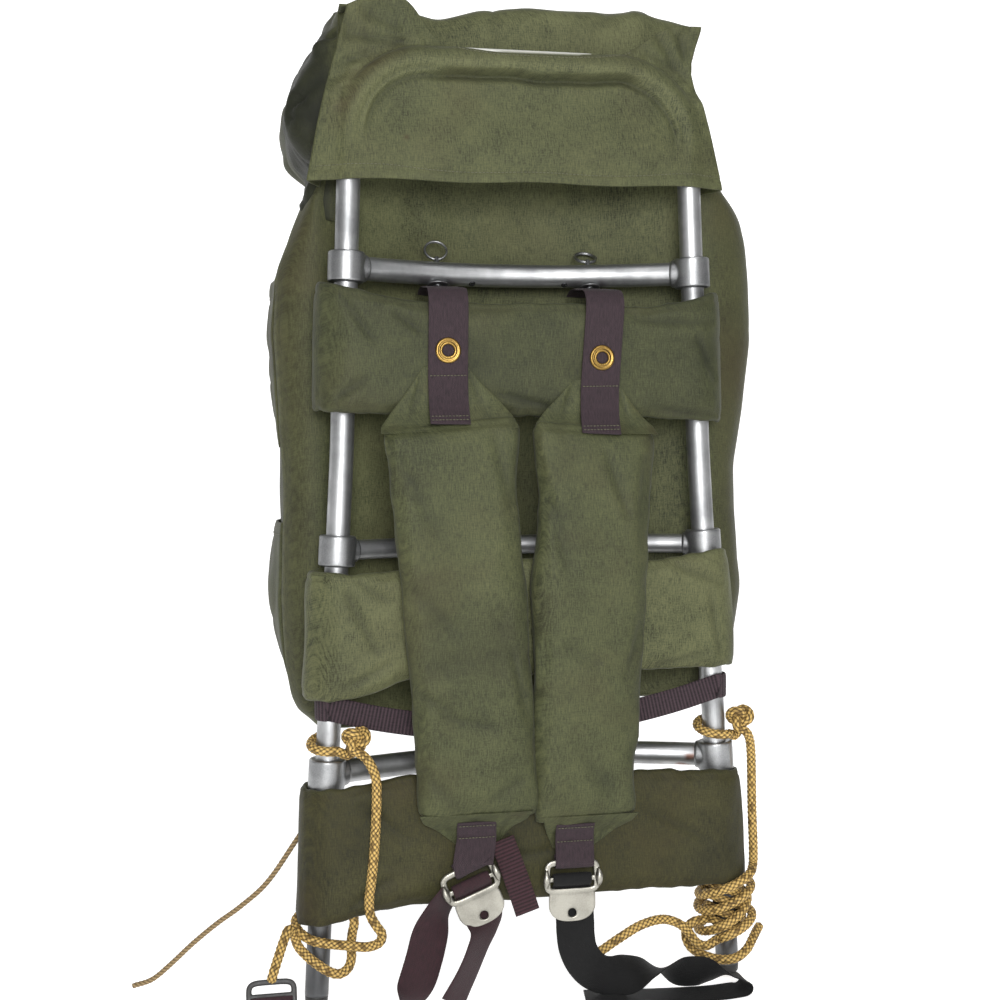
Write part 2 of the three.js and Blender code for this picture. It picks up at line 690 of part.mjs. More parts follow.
/** Upper webbing with its grommet, pin, washer and ring. */
function buildUpperTabs() {
  for (const row of HARNESS_ROWS) {
    const pads = row.side === "left" ? PAD_LEFT : PAD_RIGHT;
    const middle = holeMiddle(row.barX);
    const along = barDirection(row.barX);
    const way = holeDirection(row.barX, PIN.slope);
    const lie = new THREE.Vector3().crossVectors(along, way);
    const seat = TUBE.radius + 3 * GAP + WASHER.thick;
    const web = middle.clone().addScaledVector(way, -(seat + GAP + WEB.thick / 2));
    const tip = web.clone().addScaledVector(lie, -12);
    const bend = web.clone().addScaledVector(lie, 9);
    const barPlace = (point) => ({ at: point.toArray(), wide: along.toArray() });
    const place = (x, y, z) => ({ at: [x, y, z], wide: [1, 0, 0] });
    const run = (z) => THREE.MathUtils.mapLinear(z, -30, row.tabEndZ, row.barX, row.tabEndX);
    const places = [barPlace(tip), barPlace(web), barPlace(bend)];
    places.push(place(row.barX, 0, -15.2), place(row.barX, -16, -17.2), place(row.barX, -24, -19.6));
    places.push(place(row.barX, -29.6, -27));
    for (const share of [0.1, 0.3, 0.5, 0.65, 0.8, 0.9, 1]) {
      const z = THREE.MathUtils.lerp(-30, row.tabEndZ, share);
      places.push(place(run(z), Math.min(TAB_FRONT, padFront(pads, z) - WEB.thick), z));
    }
    const tab = strapAlong(places, WEB, 1.5);
    const eye = new THREE.Vector3(run(row.grommetZ), TAB_FRONT, row.grommetZ);
    const cuts = [roundBar(GROMMET.barrel + GAP, 8, 10, eye, Y_AXIS), roundBar(PIN.bore, 6, 8, web, way)];
    const cut = cuts.reduce((solid, tool) => solid.subtract(solidOf(tool)), solidOf(tab));
    addPiece(`strap_tab_upper_${row.side}`, meshOf(cut), "purple");

    const face = WEB.thick / 2 + GAP;
    const profile = [[GROMMET.barrel, -face], [GROMMET.barrel, face], [GROMMET.flange, face],
      [GROMMET.flange - 1.6, face + GROMMET.proud], [GROMMET.hole + 0.8, face + GROMMET.proud],
      [GROMMET.hole, -face], [GROMMET.barrel, -face]];
    const grommet = new THREE.LatheGeometry(profile.map(([x, y]) => new THREE.Vector2(x, y)), 12);
    grommet.rotateX(Math.PI).translate(eye.x, eye.y, eye.z);
    addPiece(`grommet_${row.side}`, grommet, "brass");

    const washerMiddle = middle.clone().addScaledVector(way, -(TUBE.radius + GAP + WASHER.thick / 2));
    const disc = solidOf(roundBar(WASHER.radius, WASHER.thick, 12, washerMiddle, way));
    const washer = disc.subtract(solidOf(roundBar(PIN.bore, 8, 8, washerMiddle, way)));
    addPiece(`hitch_washer_${row.side}`, meshOf(washer), "aluminium");

    const pinCentre = middle.clone().addScaledVector(way, (PIN.behind - PIN.front) / 2);
    const shank = solidOf(roundBar(PIN.radius, PIN.behind + PIN.front, 6, pinCentre, way));
    const eyeMiddle = middle.clone().addScaledVector(way, PIN.eyeAt);
    const pin = shank.subtract(solidOf(roundBar(PIN.eye, 12, 8, eyeMiddle, X_AXIS)));
    addPiece(`hitch_pin_${row.side}`, meshOf(pin), "aluminium");

    const ring = new THREE.TorusGeometry(RING.radius, RING.wire, 5, 14);
    ring.rotateX(Math.PI / 2).translate(0, 0, RING.radius - 0.2).rotateX(-row.ringTilt);
    ring.translate(eyeMiddle.x, eyeMiddle.y, eyeMiddle.z);
    addPiece(`split_ring_${row.side}`, ring, "aluminium");
  }
}

/** The outline of a buckle with its slots, flat in the X and Z directions before it is placed. */
function buckleBody() {
  const half = BUCKLE.width / 2;
  const plate = BUCKLE.plateWidth / 2;
  const round = plate * 0.8;
  const outline = new THREE.Shape();
  outline.moveTo(-half, BUCKLE.top - BUCKLE.corner);
  outline.quadraticCurveTo(-half, BUCKLE.top, -half + BUCKLE.corner, BUCKLE.top);
  outline.lineTo(half - BUCKLE.corner, BUCKLE.top);
  outline.quadraticCurveTo(half, BUCKLE.top, half, BUCKLE.top - BUCKLE.corner);
  outline.lineTo(half, BUCKLE.plateTop - BUCKLE.corner);
  outline.lineTo(plate, BUCKLE.plateTop - 2 * BUCKLE.corner);
  outline.lineTo(plate, BUCKLE.plateEnd + round);
  outline.quadraticCurveTo(plate, BUCKLE.plateEnd, 0, BUCKLE.plateEnd);
  outline.quadraticCurveTo(-plate, BUCKLE.plateEnd, -plate, BUCKLE.plateEnd + round);
  outline.lineTo(-plate, BUCKLE.plateTop - 2 * BUCKLE.corner);
  outline.lineTo(-half, BUCKLE.plateTop - BUCKLE.corner);
  outline.closePath();
  const slotHalf = SLOT.width / 2;
  for (const [top, bottom] of [[SLOT.upperTop, SLOT.upperBottom], [SLOT.lowerTop, SLOT.lowerBottom]]) {
    const slot = new THREE.Path();
    slot.moveTo(-slotHalf, bottom).lineTo(slotHalf, bottom).lineTo(slotHalf, top).lineTo(-slotHalf, top);
    slot.closePath();
    outline.holes.push(slot);
  }
  const eye = new THREE.Path();
  eye.absarc(0, BUCKLE_EYE.z, BUCKLE_EYE.radius, 0, 2 * Math.PI);
  outline.holes.push(eye);
  const options = { depth: BUCKLE.thick, bevelEnabled: false, curveSegments: 4 };
  const plateBody = new THREE.ExtrudeGeometry(outline, options);
  plateBody.translate(0, 0, -BUCKLE.thick / 2);
  let solid = solidOf(plateBody);
  for (const side of [-1, 1]) {
    const lug = new THREE.BoxGeometry(LUG.thick, LUG.top - LUG.bottom, LUG.deep);
    lug.translate(side * (half - LUG.thick / 2 - 0.01), (LUG.top + LUG.bottom) / 2, LUG.deep / 2 - 0.5);
    solid = solid.add(solidOf(lug));
  }
  return meshOf(solid).rotateX(Math.PI / 2);
}

/** A place on a buckle as a point of the pack: across it, out of its face, and up it. */
function onBuckle(row, across, out, up) {
  const point = new THREE.Vector3(across, -out, up).applyAxisAngle(Y_AXIS, -row.turn);
  return point.add(new THREE.Vector3(row.x, row.y, row.z)).toArray();
}

/** Lower webbing, buckles and the straps that run from them to the feet of the frame. */
function buildLowerStraps() {
  const over = BUCKLE.thick / 2 + 2 * GAP + WEB.thick / 2 + 0.4;
  const barZ = (SLOT.upperBottom + SLOT.lowerTop) / 2;
  for (const row of BUCKLE_ROWS) {
    const buckle = buckleBody().rotateY(-row.turn).translate(row.x, row.y, row.z);
    addPiece(`buckle_${row.side}`, buckle, "aluminium");

    const wide = new THREE.Vector3(1, 0, 0).applyAxisAngle(Y_AXIS, -row.turn).toArray();
    const pads = row.side === "left" ? PAD_LEFT : PAD_RIGHT;
    const flapEnd = pads[pads.length - 1].z;
    const topLoop = SLOT.upperTop - GAP - WEB.thick / 2 - 0.2;
    const onFlap = [0, 0.4, 0.8].map((share) => {
      const z = THREE.MathUtils.lerp(row.tabTopZ, flapEnd, share);
      return { at: [row.tabX, padFront(pads, z) - WEB.thick * (1 + 2.4 * share), z], wide: [1, 0, 0] };
    });
    const tab = [
      ...onFlap,
      { at: onBuckle(row, 0, over + 1.5, BUCKLE.top + 7), wide },
      { at: onBuckle(row, 0, over + 0.5, BUCKLE.top + 1), wide },
      { at: onBuckle(row, 0, over, BUCKLE.top - 2), wide },
      { at: onBuckle(row, 0, over * 0.7, topLoop + 0.2), wide },
      { at: onBuckle(row, 0, 0, topLoop - 1), wide },
      { at: onBuckle(row, 0, -over * 0.7, topLoop + 0.2), wide },
      { at: onBuckle(row, 0, -over, BUCKLE.top - 2), wide },
      { at: onBuckle(row, 0, -over - 0.6, BUCKLE.top + 4), wide },
    ];
    addPiece(`strap_tab_lower_${row.side}`, strapAlong(tab, WEB), "purple");

    const lowerMiddle = (SLOT.lowerTop + SLOT.lowerBottom) / 2;
    const upperLow = SLOT.upperBottom + GAP + WEB.thick / 2 + 0.2;
    const lowerHigh = SLOT.lowerTop - GAP - WEB.thick / 2 - 0.2;
    const loop = [
      { at: onBuckle(row, 0, -over - 2.4, upperLow - 5), wide },
      { at: onBuckle(row, 0, -over, upperLow - 1), wide },
      { at: onBuckle(row, 0, -over * 0.5, upperLow + 0.6), wide },
      { at: onBuckle(row, 0, over * 0.5, upperLow + 0.6), wide },
      { at: onBuckle(row, 0, over, barZ), wide },
      { at: onBuckle(row, 0, over * 0.5, lowerHigh - 0.6), wide },
      { at: onBuckle(row, 0, -over * 0.5, lowerMiddle - 0.3), wide },
      { at: onBuckle(row, 0, -over - 1.2, BUCKLE.plateTop - 6), wide },
    ];
    if (row.side === "left") {
      loop.push({ at: onBuckle(row, 0, -over - 2, BUCKLE.plateEnd), wide });
      loop.push(...ADJUSTER_LEFT_END);
      addPiece("adjuster_strap_left", strapAlong(loop, WEB), "purple");
    } else {
      loop.push(...ADJUSTER_RIGHT);
      addPiece("adjuster_strap_right", strapAlong(loop, WEB), "black");
    }
  }
  addPiece("anchor_strap_left", strapAlong(ANCHOR_LEFT, WEB), "purple");
  addPiece("strap_tail_left", strapAlong(TAIL_LEFT, RIBBED), "purple");
}

/** Dark slide at the left foot, with a slot for the strap and one for the rope. */
function buildSlide() {
  let solid = solidOf(new THREE.BoxGeometry(SLIDE.length, SLIDE.width, SLIDE.thick));
  for (const side of [-1, 1]) {
    const slot = new THREE.BoxGeometry(SLIDE_SLOT.length, SLIDE_SLOT.width, 4 * SLIDE.thick);
    slot.translate((side * (SLIDE.bar + SLIDE_SLOT.length)) / 2, 0, 0);
    solid = solid.subtract(solidOf(slot));
  }
  addPiece("strap_slide", meshOf(solid).translate(SLIDE.x, SLIDE.y, SLIDE.z), "black");
}

/** Ribbed webbing that crosses the frame with a sag and hooks round both uprights. */
function buildFrameStrap() {
  const out = TUBE.radius + 1 + RIBBED.thick / 2;
  const end = (side, z) => {
    const x = side * railHalf(z);
    const wide = [0, 0, 1];
    return [
      { at: [x - side * FRAME_STRAP.hook, out + 0.4, z], wide },
      { at: [x, out, z], wide },
      { at: [x + side * out * 0.75, out * 0.75, z], wide },
      { at: [x + side * (out + 0.4), 0, z], wide },
      { at: [x + side * out * 0.75, -out * 0.75, z], wide },
      { at: [x, -out, z], wide },
    ];
  };
  const places = end(-1, FRAME_STRAP.leftZ);
  for (let step = 1; step < FRAME_STRAP.steps; step += 1) {
    const share = step / FRAME_STRAP.steps;
    const x = THREE.MathUtils.lerp(-railHalf(FRAME_STRAP.leftZ), railHalf(FRAME_STRAP.rightZ), share);
    const level = THREE.MathUtils.lerp(FRAME_STRAP.leftZ, FRAME_STRAP.rightZ, share);
    places.push({ at: [x, -out, level - FRAME_STRAP.sag * 4 * share * (1 - share)], wide: [0, 0, 1] });
  }
  places.push(...end(1, FRAME_STRAP.rightZ).reverse());
  addPiece("frame_strap", strapAlong(places, RIBBED), "purple");
}

/** Back panel of the bag, bowed away from the frame like the crossbars. */
function bagPanelY(x) {
  return BAG.panelY + BAG.panelBow * (1 - (x / BAG.panelEdge) ** 2);
}

/** Half width of the bag at a height and a distance behind the frame. */
function bagSideX(y, z) {
  const front = readTable(BAG_ROWS, "z", z, "front");
  const half = readTable(BAG_ROWS, "z", z, "half");
  const share = THREE.MathUtils.clamp((y - BAG.cornerY) / (front - BAG.cornerY), 0, 1);
  const sine = share ** (1 / BAG_BLUNT.y);
  return half * Math.sqrt(1 - sine * sine) ** BAG_BLUNT.x;
}

/** One section of the bag in plan: its bowed back panel, then round the sides and the front. */
function bagRing(row) {
  const ring = [];
  const narrow = Math.min(1, row.half / (BAG.panelEdge + 12));
  for (let step = 0; step <= BAG.backSteps; step += 1) {
    const x = BAG.panelEdge * ((2 * step) / BAG.backSteps - 1);
    ring.push(new THREE.Vector3(x * narrow, bagPanelY(x), row.z));
  }
  for (let step = 0; step <= BAG.sideSteps; step += 1) {
    const angle = (Math.PI * step) / BAG.sideSteps;
    const cosine = Math.cos(angle);
    const x = row.half * Math.sign(cosine) * Math.abs(cosine) ** BAG_BLUNT.x;
    const sine = Math.abs(Math.sin(angle)) ** BAG_BLUNT.y;
    ring.push(new THREE.Vector3(x, BAG.cornerY + (row.front - BAG.cornerY) * sine, row.z));
  }
  return ring;
}

/** A section moved inwards by the wall's thickness. */
function insetRing(ring, inset, z) {
  return ring.map((point, index) => {
    const before = ring[(index + ring.length - 1) % ring.length];
    const after = ring[(index + 1) % ring.length];
    const along = after.clone().sub(before).setZ(0).normalize();
    return new THREE.Vector3(point.x - along.y * inset, point.y + along.x * inset, z);
  });
}

/** The bag as a wall of cloth, open at the mouth. */
function buildBag() {
  const outer = BAG_ROWS.map(bagRing);
  const last = BAG_ROWS.length - 1;
  const inner = outer.map((ring, index) => {
    const lift = index === last ? BAG.wall : 0;
    return insetRing(ring, BAG.wall, BAG_ROWS[index].z + lift);
  });
  const sides = outer[0].length;
  const points = [...outer.flat(), ...inner.flat()];
  const first = outer.length * sides;
  const triangles = ringTriangles(outer.length, sides);
  triangles.push(...ringTriangles(inner.length, sides, first, true));
  triangles.push(...capTriangles(points, last * sides, sides, true));
  triangles.push(...capTriangles(points, first + last * sides, sides, false));
  for (let side = 0; side < sides; side += 1) {
    const next = (side + 1) % sides;
    triangles.push([next, side, first + side], [next, first + side, first + next]);
  }
  addPiece("packbag_body", closedBody(points, triangles), "olive");

  for (const pocket of POCKET_ROWS) {
    const grid = [];
    for (let row = 0; row <= POCKET.stepsZ; row += 1) {
      const down = row / POCKET.stepsZ;
      const z = THREE.MathUtils.lerp(pocket.top, pocket.bottom, down);
      const reach = down < POCKET.fullest ? 1.5 * POCKET.fullest : 1 - POCKET.fullest;
      const fall = Math.max(0, 1 - ((down - POCKET.fullest) / reach) ** 2) ** POCKET.mouth;
      grid.push(Array.from({ length: POCKET.stepsY + 1 }, (_, column) => {
        const share = column / POCKET.stepsY;
        const y = THREE.MathUtils.lerp(POCKET.nearY, POCKET.farY, share);
        const swell = pocket.bulge * fall * Math.sin(Math.PI * share) ** 0.6;
        const x = bagSideX(y, z) + POCKET.stand + CLOTH + swell;
        return new THREE.Vector3(pocket.side * x, y, z);
      }));
    }
    addPiece(pocket.name, thickSheet(grid, pocket.side * CLOTH), "olive");
  }
}

/** Cloth sleeve over the top of the frame, open below, with an ear at each corner. */
function buildSleeve() {
  const grid = [];
  for (const rise of SLEEVE_LEVELS) {
    const line = [];
    const addPoint = (xShare, ySide) => {
      const edgeX = xShare * SLEEVE_FRONT.edgeHalf;
      const hem = SLEEVE.hemMiddle + SLEEVE.hemSlope * edgeX;
      const top = readTable(SLEEVE_EDGE, "x", edgeX, "z");
      const z = THREE.MathUtils.lerp(hem, top, rise);
      const half = readTable(xShare < 0 ? SLEEVE_LEFT : SLEEVE_RIGHT, "z", z, "half");
      const lean = readTable(SLEEVE_EDGE, "x", edgeX, "lean");
      const front = SLEEVE.front + (SLEEVE.edgeY - SLEEVE.front + lean) * rise ** SLEEVE.curl;
      line.push(new THREE.Vector3(xShare * half, ySide === null ? front : ySide, z));
    };
    for (const { share, y } of SLEEVE_SIDE) addPoint(-share, y);
    for (let step = 0; step <= SLEEVE_FRONT.steps; step += 1) {
      addPoint(SLEEVE_FRONT.share * ((2 * step) / SLEEVE_FRONT.steps - 1), null);
    }
    for (const { share, y } of [...SLEEVE_SIDE].reverse()) addPoint(share, y);
    grid.push(line);
  }
  addPiece("top_sleeve", thickSheet(grid, CLOTH), "olive");
}

/** Lid over the mouth, humped at the back and hanging at its sides and front. */
function buildLid() {
  const grid = LID_PATH.map(({ y, z }) => {
    const line = [];
    const addSide = (side, share) => {
      const end = side < 0 ? LID.leftEnd : LID.rightEnd;
      const crest = z + readTable(LID_CREST, "x", side * LID.flat, "rise");
      const low = Math.min(end, crest - LID.leastFall);
      const angle = (Math.PI / 2) * share;
      const x = LID.flat + (LID.half - LID.flat) * Math.sin(angle);
      line.push(new THREE.Vector3(side * x, y, low + (crest - low) * Math.cos(angle)));
    };
    for (let step = LID.sideSteps; step > 0; step -= 1) addSide(-1, step / LID.sideSteps);
    for (let step = 0; step <= LID.flatSteps; step += 1) {
      const x = LID.flat * ((2 * step) / LID.flatSteps - 1);
      line.push(new THREE.Vector3(x, y, z + readTable(LID_CREST, "x", x, "rise")));
    }
    for (let step = 1; step <= LID.sideSteps; step += 1) addSide(1, step / LID.sideSteps);
    return line;
  });
  addPiece("top_lid", thickSheet(grid, -CLOTH), "olive");
}

/** Ropes tied round the uprights, their runs and the thin cord. */
function buildRopes() {
  for (const knot of KNOT_ROWS) {
    const middle = (knot.top + knot.bottom) / 2;
    const height = knot.top - knot.bottom;
    const inner = TUBE.radius + KNOT.clear;
    const profile = [new THREE.Vector2(inner, -height / 2)];
    for (let step = 0; step <= KNOT.steps; step += 1) {
      const angle = Math.PI * (step / KNOT.steps - 0.5);
      const out = inner + KNOT.face + (KNOT.wall - KNOT.face) * Math.cos(angle);
      profile.push(new THREE.Vector2(out, (height / 2) * Math.sin(angle)));
    }
    profile.push(new THREE.Vector2(inner, height / 2), new THREE.Vector2(inner, -height / 2));
    const ring = new THREE.LatheGeometry(profile, KNOT.sides);
    ring.applyQuaternion(new THREE.Quaternion().setFromUnitVectors(Y_AXIS, railDirection(knot.side, middle)));
    ring.translate(knot.side * railHalf(middle), 0, middle);
    addPiece(knot.name, ring, "gold");
  }
  const runs = [
    ["rope_run_left", ROPE_RUN_LEFT, 13],
    ["rope_lash_left", ROPE_LASH_LEFT, 5],
    ["rope_run_right", ROPE_RUN_RIGHT, 12],
    ["rope_tail_right", ROPE_TAIL_RIGHT, 10],
  ];
  for (const [name, route, steps] of runs) {
    addPiece(name, cordAlong(route, ROPE.radius, ROPE.sides, steps), "gold");
  }
  addPiece("thin_cord", cordAlong(THIN_CORD, CORD.radius, CORD.sides, 14), "tan");
}

buildHoop();
buildBars();
buildBands();
buildPads();
buildUpperTabs();
buildLowerStraps();
buildSlide();
buildFrameStrap();
buildBag();
buildSleeve();
buildLid();
buildRopes();

export default pack;
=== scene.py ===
"""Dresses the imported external-frame hiking pack: ropes, tubes, padded bands and straps, webbing and bag.

Tables of places are written in millimetres and turned to metres by MM. X points to the right of the
picture, Y away from the viewer towards the bag, Z up, and the origin lies between the upper couplings.
"""

from __future__ import annotations

import logging
import math
from dataclasses import dataclass, field
from enum import Enum

import bmesh
import bpy
import numpy as np
from mathutils import Matrix

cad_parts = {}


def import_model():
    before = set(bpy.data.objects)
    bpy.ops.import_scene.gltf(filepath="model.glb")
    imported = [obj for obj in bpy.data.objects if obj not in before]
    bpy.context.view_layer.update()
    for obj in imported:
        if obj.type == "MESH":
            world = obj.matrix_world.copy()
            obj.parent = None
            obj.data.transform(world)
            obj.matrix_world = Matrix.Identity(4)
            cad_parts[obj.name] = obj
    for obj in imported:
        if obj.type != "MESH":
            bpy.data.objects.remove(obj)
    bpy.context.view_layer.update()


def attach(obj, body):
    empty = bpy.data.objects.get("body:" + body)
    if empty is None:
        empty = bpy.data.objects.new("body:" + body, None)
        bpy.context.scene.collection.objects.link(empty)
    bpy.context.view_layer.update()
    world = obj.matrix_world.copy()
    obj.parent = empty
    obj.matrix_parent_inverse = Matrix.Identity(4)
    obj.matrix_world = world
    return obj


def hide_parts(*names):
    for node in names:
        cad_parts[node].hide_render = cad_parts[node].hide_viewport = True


Array = np.ndarray
Socket = bpy.types.NodeSocket
Piece = bpy.types.Object
Value = Socket | float | tuple

LOG = logging.getLogger("hiking_pack")
MM = 0.001
ROOT = "root"

# Directions: to the right, away from the viewer, up and towards the viewer
ACROSS, AWAY, UP = np.eye(3)
TOWARDS = -AWAY

# Half the distance between the uprights at each height, from the feet up
RAIL_Z = MM * np.array([-600, -560, -360, -150, 60, 104])
RAIL_HALF = MM * np.array([174.5, 172.5, 161, 149, 141.7, 140.5])
TUBE_RADIUS = 9.525 * MM
BAR_BOW = 38 * MM

# Top, corner radius and upper half width of the hoop in millimetres
HOOP_TOP, HOOP_CORNER, HOOP_HALF = 166, 62, 140.5

# Depth of a tab's front by the height above its end, as it bends over the pad
TAB_ABOVE = [0, 6, 12, 20, 35, 50]
TAB_FRONT = [-47.6, -43.2, -39.4, -35.6, -32.2, -31.4]

# Places across the pack at which the bands' edges are given
SWAY_X = np.array([-170, -130, -90, -40, 40, 90, 130, 170])


class Slot(Enum):
    """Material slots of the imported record."""

    ALUMINIUM = "aluminium"
    BUCKLE = "buckle_metal"
    OLIVE = "olive_cloth"
    HIP = "hip_cloth"
    PURPLE = "purple_webbing"
    BLACK = "black_webbing"
    PLASTIC = "black_plastic"
    BRASS = "brass"
    ROPE = "gold_rope"
    CORD = "tan_cord"


class Side(Enum):
    """The two sides of the pack as the picture shows them."""

    LEFT = -1
    RIGHT = 1

    @property
    def word(self) -> str:
        """The side's name as the nodes spell it."""
        return self.name.lower()


# Numbers, curves and grids


def linear(*screen: float) -> tuple[float, ...]:
    """Turns a screen colour of 0 to 255 into linear light: the screen's curve undone, with full opacity."""
    share = np.array(screen) / 255
    return (*np.where(share <= 0.04045, share / 12.92, ((share + 0.055) / 1.055) ** 2.4).tolist(), 1)


def rail_half(height: Array) -> Array:
    """Half the distance between the uprights at a height, read from the table between its rows."""
    return np.interp(height, RAIL_Z, RAIL_HALF)


def upright_line(side: Side, height: Array) -> Array:
    """Points of an upright's middle line at given heights."""
    return np.stack([side.value * rail_half(height), 0 * height, height], 1)


def bar_line(x: Array, height: float) -> Array:
    """Points of a crossbar's middle line, which bows back as a parabola between the uprights."""
    return np.stack([x, BAR_BOW * (1 - (x / rail_half(height)) ** 2), np.full_like(x, height)], -1)


def soft_read(at: Array, places: Array, values: Array, blur: float) -> Array:
    """Reads a table with rounded corners: the mean of seven straight readings spread over the blur."""
    spread = np.linspace(-blur, blur, 7)
    return np.mean([np.interp(at + shift, places, values) for shift in spread], axis=0)


def ease(value: Array, low: float, high: float) -> Array:
    """Rises from 0 at low to 1 at high with level ends: 3t squared less 2t cubed."""
    share = np.clip((value - low) / (high - low), 0, 1)
    return share * share * (3 - 2 * share)


def bell(value: Array, width: float) -> Array:
    """Falls from 1 at zero to both sides: e to the power of less the square of value over width."""
    return np.exp(-((value / width) ** 2))


def blunt(value: Array, power: float) -> Array:
    """Raises the size of a number to a power and keeps its sign."""
    return np.sign(value) * np.abs(value) ** power


def full_turn(count: int) -> Array:
    """Even angles once round."""
    return np.linspace(0, 2 * np.pi, count, endpoint=False)


def unit(vectors: Array) -> Array:
    """Scales vectors to length one."""
    return vectors / np.maximum(np.linalg.norm(vectors, axis=-1, keepdims=True), 1e-9)


def reach_along(path: Array) -> Array:
    """Length along a path at each of its points."""
    return np.concatenate([[0], np.cumsum(np.linalg.norm(np.diff(path, axis=0), axis=1))])


def even_path(path: Array, step: float) -> Array:
    """Places points on a path at even distances of its first three columns.

    Args:
        path: Points of the path, with any further columns carried along.
        step: Distance between the new points.

    Returns:
        The path read again.
    """
    reach = reach_along(path[:, :3])
    count = max(3, int(round(reach[-1] / step)) + 1)
    places = np.linspace(0, reach[-1], count)
    return np.stack([np.interp(places, reach, column) for column in path.T], axis=1)


def smooth_path(points: Array, step: float) -> Array:
    """Carries a Catmull-Rom curve through points: cubic pieces whose slopes are half the chord of neighbours.

    Args:
        points: Points to pass through, with any further columns smoothed likewise.
        step: Distance between the points of the result.

    Returns:
        The curve at even distances.
    """
    ends = np.vstack([2 * points[0] - points[1], points, 2 * points[-1] - points[-2]])
    share = np.linspace(0, 1, 20, endpoint=False)[:, None, None]
    before, here, there, after = ends[:-3], ends[1:-2], ends[2:-1], ends[3:]
    slope = (there - before) * share
    bend = (2 * before - 5 * here + 4 * there - after) * share**2
    twist = (3 * here - before - 3 * there + after) * share**3
    curve = 0.5 * (2 * here + slope + bend + twist)
    fine = np.vstack([curve.transpose(1, 0, 2).reshape(-1, points.shape[1]), points[-1:]])
    return even_path(fine, step)


def noise(points: Array, cell: float, seed: int) -> Array:
    """Value noise of -1 to 1: hashed numbers at lattice corners, mixed by smooth weights.

    Args:
        points: Points as rows of three.
        cell: Size of a lattice cell.
        seed: Number that picks the pattern.

    Returns:
        One value per point.
    """
    place = points / cell
    base = np.floor(place).astype(np.int64)
    share = place - base
    share = share * share * (3 - 2 * share)
    total = np.zeros(len(points))
    for corner in np.ndindex(2, 2, 2):
        index = base + np.array(corner)
        mixed = (index[:, 0] * 73856093) ^ (index[:, 1] * 19349663) ^ (index[:, 2] * 83492791)
        mixed = (mixed ^ (seed * 40503)) & 0xFFFFFFF
        mixed = ((mixed ^ (mixed >> 13)) * 1274126177) & 0xFFFFFFF
        value = ((mixed ^ (mixed >> 11)) & 0xFFFF) / 32767.5 - 1
        weight = np.prod(np.where(np.array(corner) == 1, share, 1 - share), axis=1)
        total += weight * value
    return total


def wrinkles(points: Array, cell: float, seed: int) -> Array:
    """Thin wandering folds of 0 to 1: the lines where noise crosses zero, sharpened by a fifth power."""
    return (1 - np.abs(noise(points, cell, seed))) ** 5


def crease(points: Array, start: tuple, end: tuple, width: float) -> Array:
    """A fold's height of 0 to 1: a bell across the line between two points that fades towards its ends.

    Args:
        points: Points as rows of three.
        start: Where the fold begins.
        end: Where it ends.
        width: How far from its line the fold reaches.

    Returns:
        One height per point.
    """
    along = np.subtract(end, start)
    share = ((points - start) @ along) / (along @ along)
    near = start + np.clip(share, 0, 1)[:, None] * along
    apart = np.linalg.norm(points - near, axis=1)
    fade = np.clip(4 * share * (1 - share), 0, 1) ** 0.5
    return bell(apart, width) * fade


@dataclass
class Surface:
    """A mesh in the making: points, faces as arrays of corners, UV pairs per corner and values per point."""

    points: Array
    faces: list[Array]
    corner_uv: list[Array]
    values: dict[str, Array] = field(default_factory=dict)

    def turned(self, matrix: Array, offset: Array) -> Surface:
        """The same surface turned by a 3 by 3 matrix and then shifted."""
        return Surface(self.points @ matrix.T + offset, self.faces, self.corner_uv, self.values)


def join(surfaces: list[Surface]) -> Surface:
    """Puts surfaces into one, keeping the values that the first of them names.

    Args:
        surfaces: The surfaces in order.

    Returns:
        One surface with all their points and faces.
    """
    starts = np.cumsum([0] + [len(surface.points) for surface in surfaces])
    faces = [face + start for surface, start in zip(surfaces, starts) for face in surface.faces]
    corner_uv = [pairs for surface in surfaces for pairs in surface.corner_uv]
    points = np.concatenate([surface.points for surface in surfaces])
    values = {name: np.concatenate([part.values[name] for part in surfaces]) for name in surfaces[0].values}
    return Surface(points, faces, corner_uv, values)


def grid_surface(grid: Array, ring: bool = False, loop: bool = False) -> Surface:
    """Makes quads of a grid of points, with UV pairs in metres along its rows and columns.

    Args:
        grid: Points as rows by columns by three.
        ring: Whether the last column joins the first.
        loop: Whether the last row joins the first.

    Returns:
        The surface of the grid.
    """
    rows, columns = grid.shape[:2]
    tall = rows if loop else rows - 1
    wide = columns if ring else columns - 1
    row, column = np.meshgrid(np.arange(tall), np.arange(wide), indexing="ij")
    next_row = (row + 1) % rows
    next_column = (column + 1) % columns
    numbers = [row * columns + column, row * columns + next_column]
    numbers += [next_row * columns + next_column, next_row * columns + column]
    quads = np.stack(numbers, axis=-1).reshape(-1, 4)
    middle_row = grid[rows // 2]
    middle_column = grid[:, columns // 2]
    across = reach_along(np.vstack([middle_row, middle_row[:1]]))
    along = reach_along(np.vstack([middle_column, middle_column[:1]]))
    u = np.stack([across[column], across[column + 1], across[column + 1], across[column]], axis=-1)
    v = np.stack([along[row], along[row], along[row + 1], along[row + 1]], axis=-1)
    pairs = np.stack([u, v], axis=-1).reshape(-1, 4, 2)
    return Surface(grid.reshape(-1, 3), [quads], [pairs])


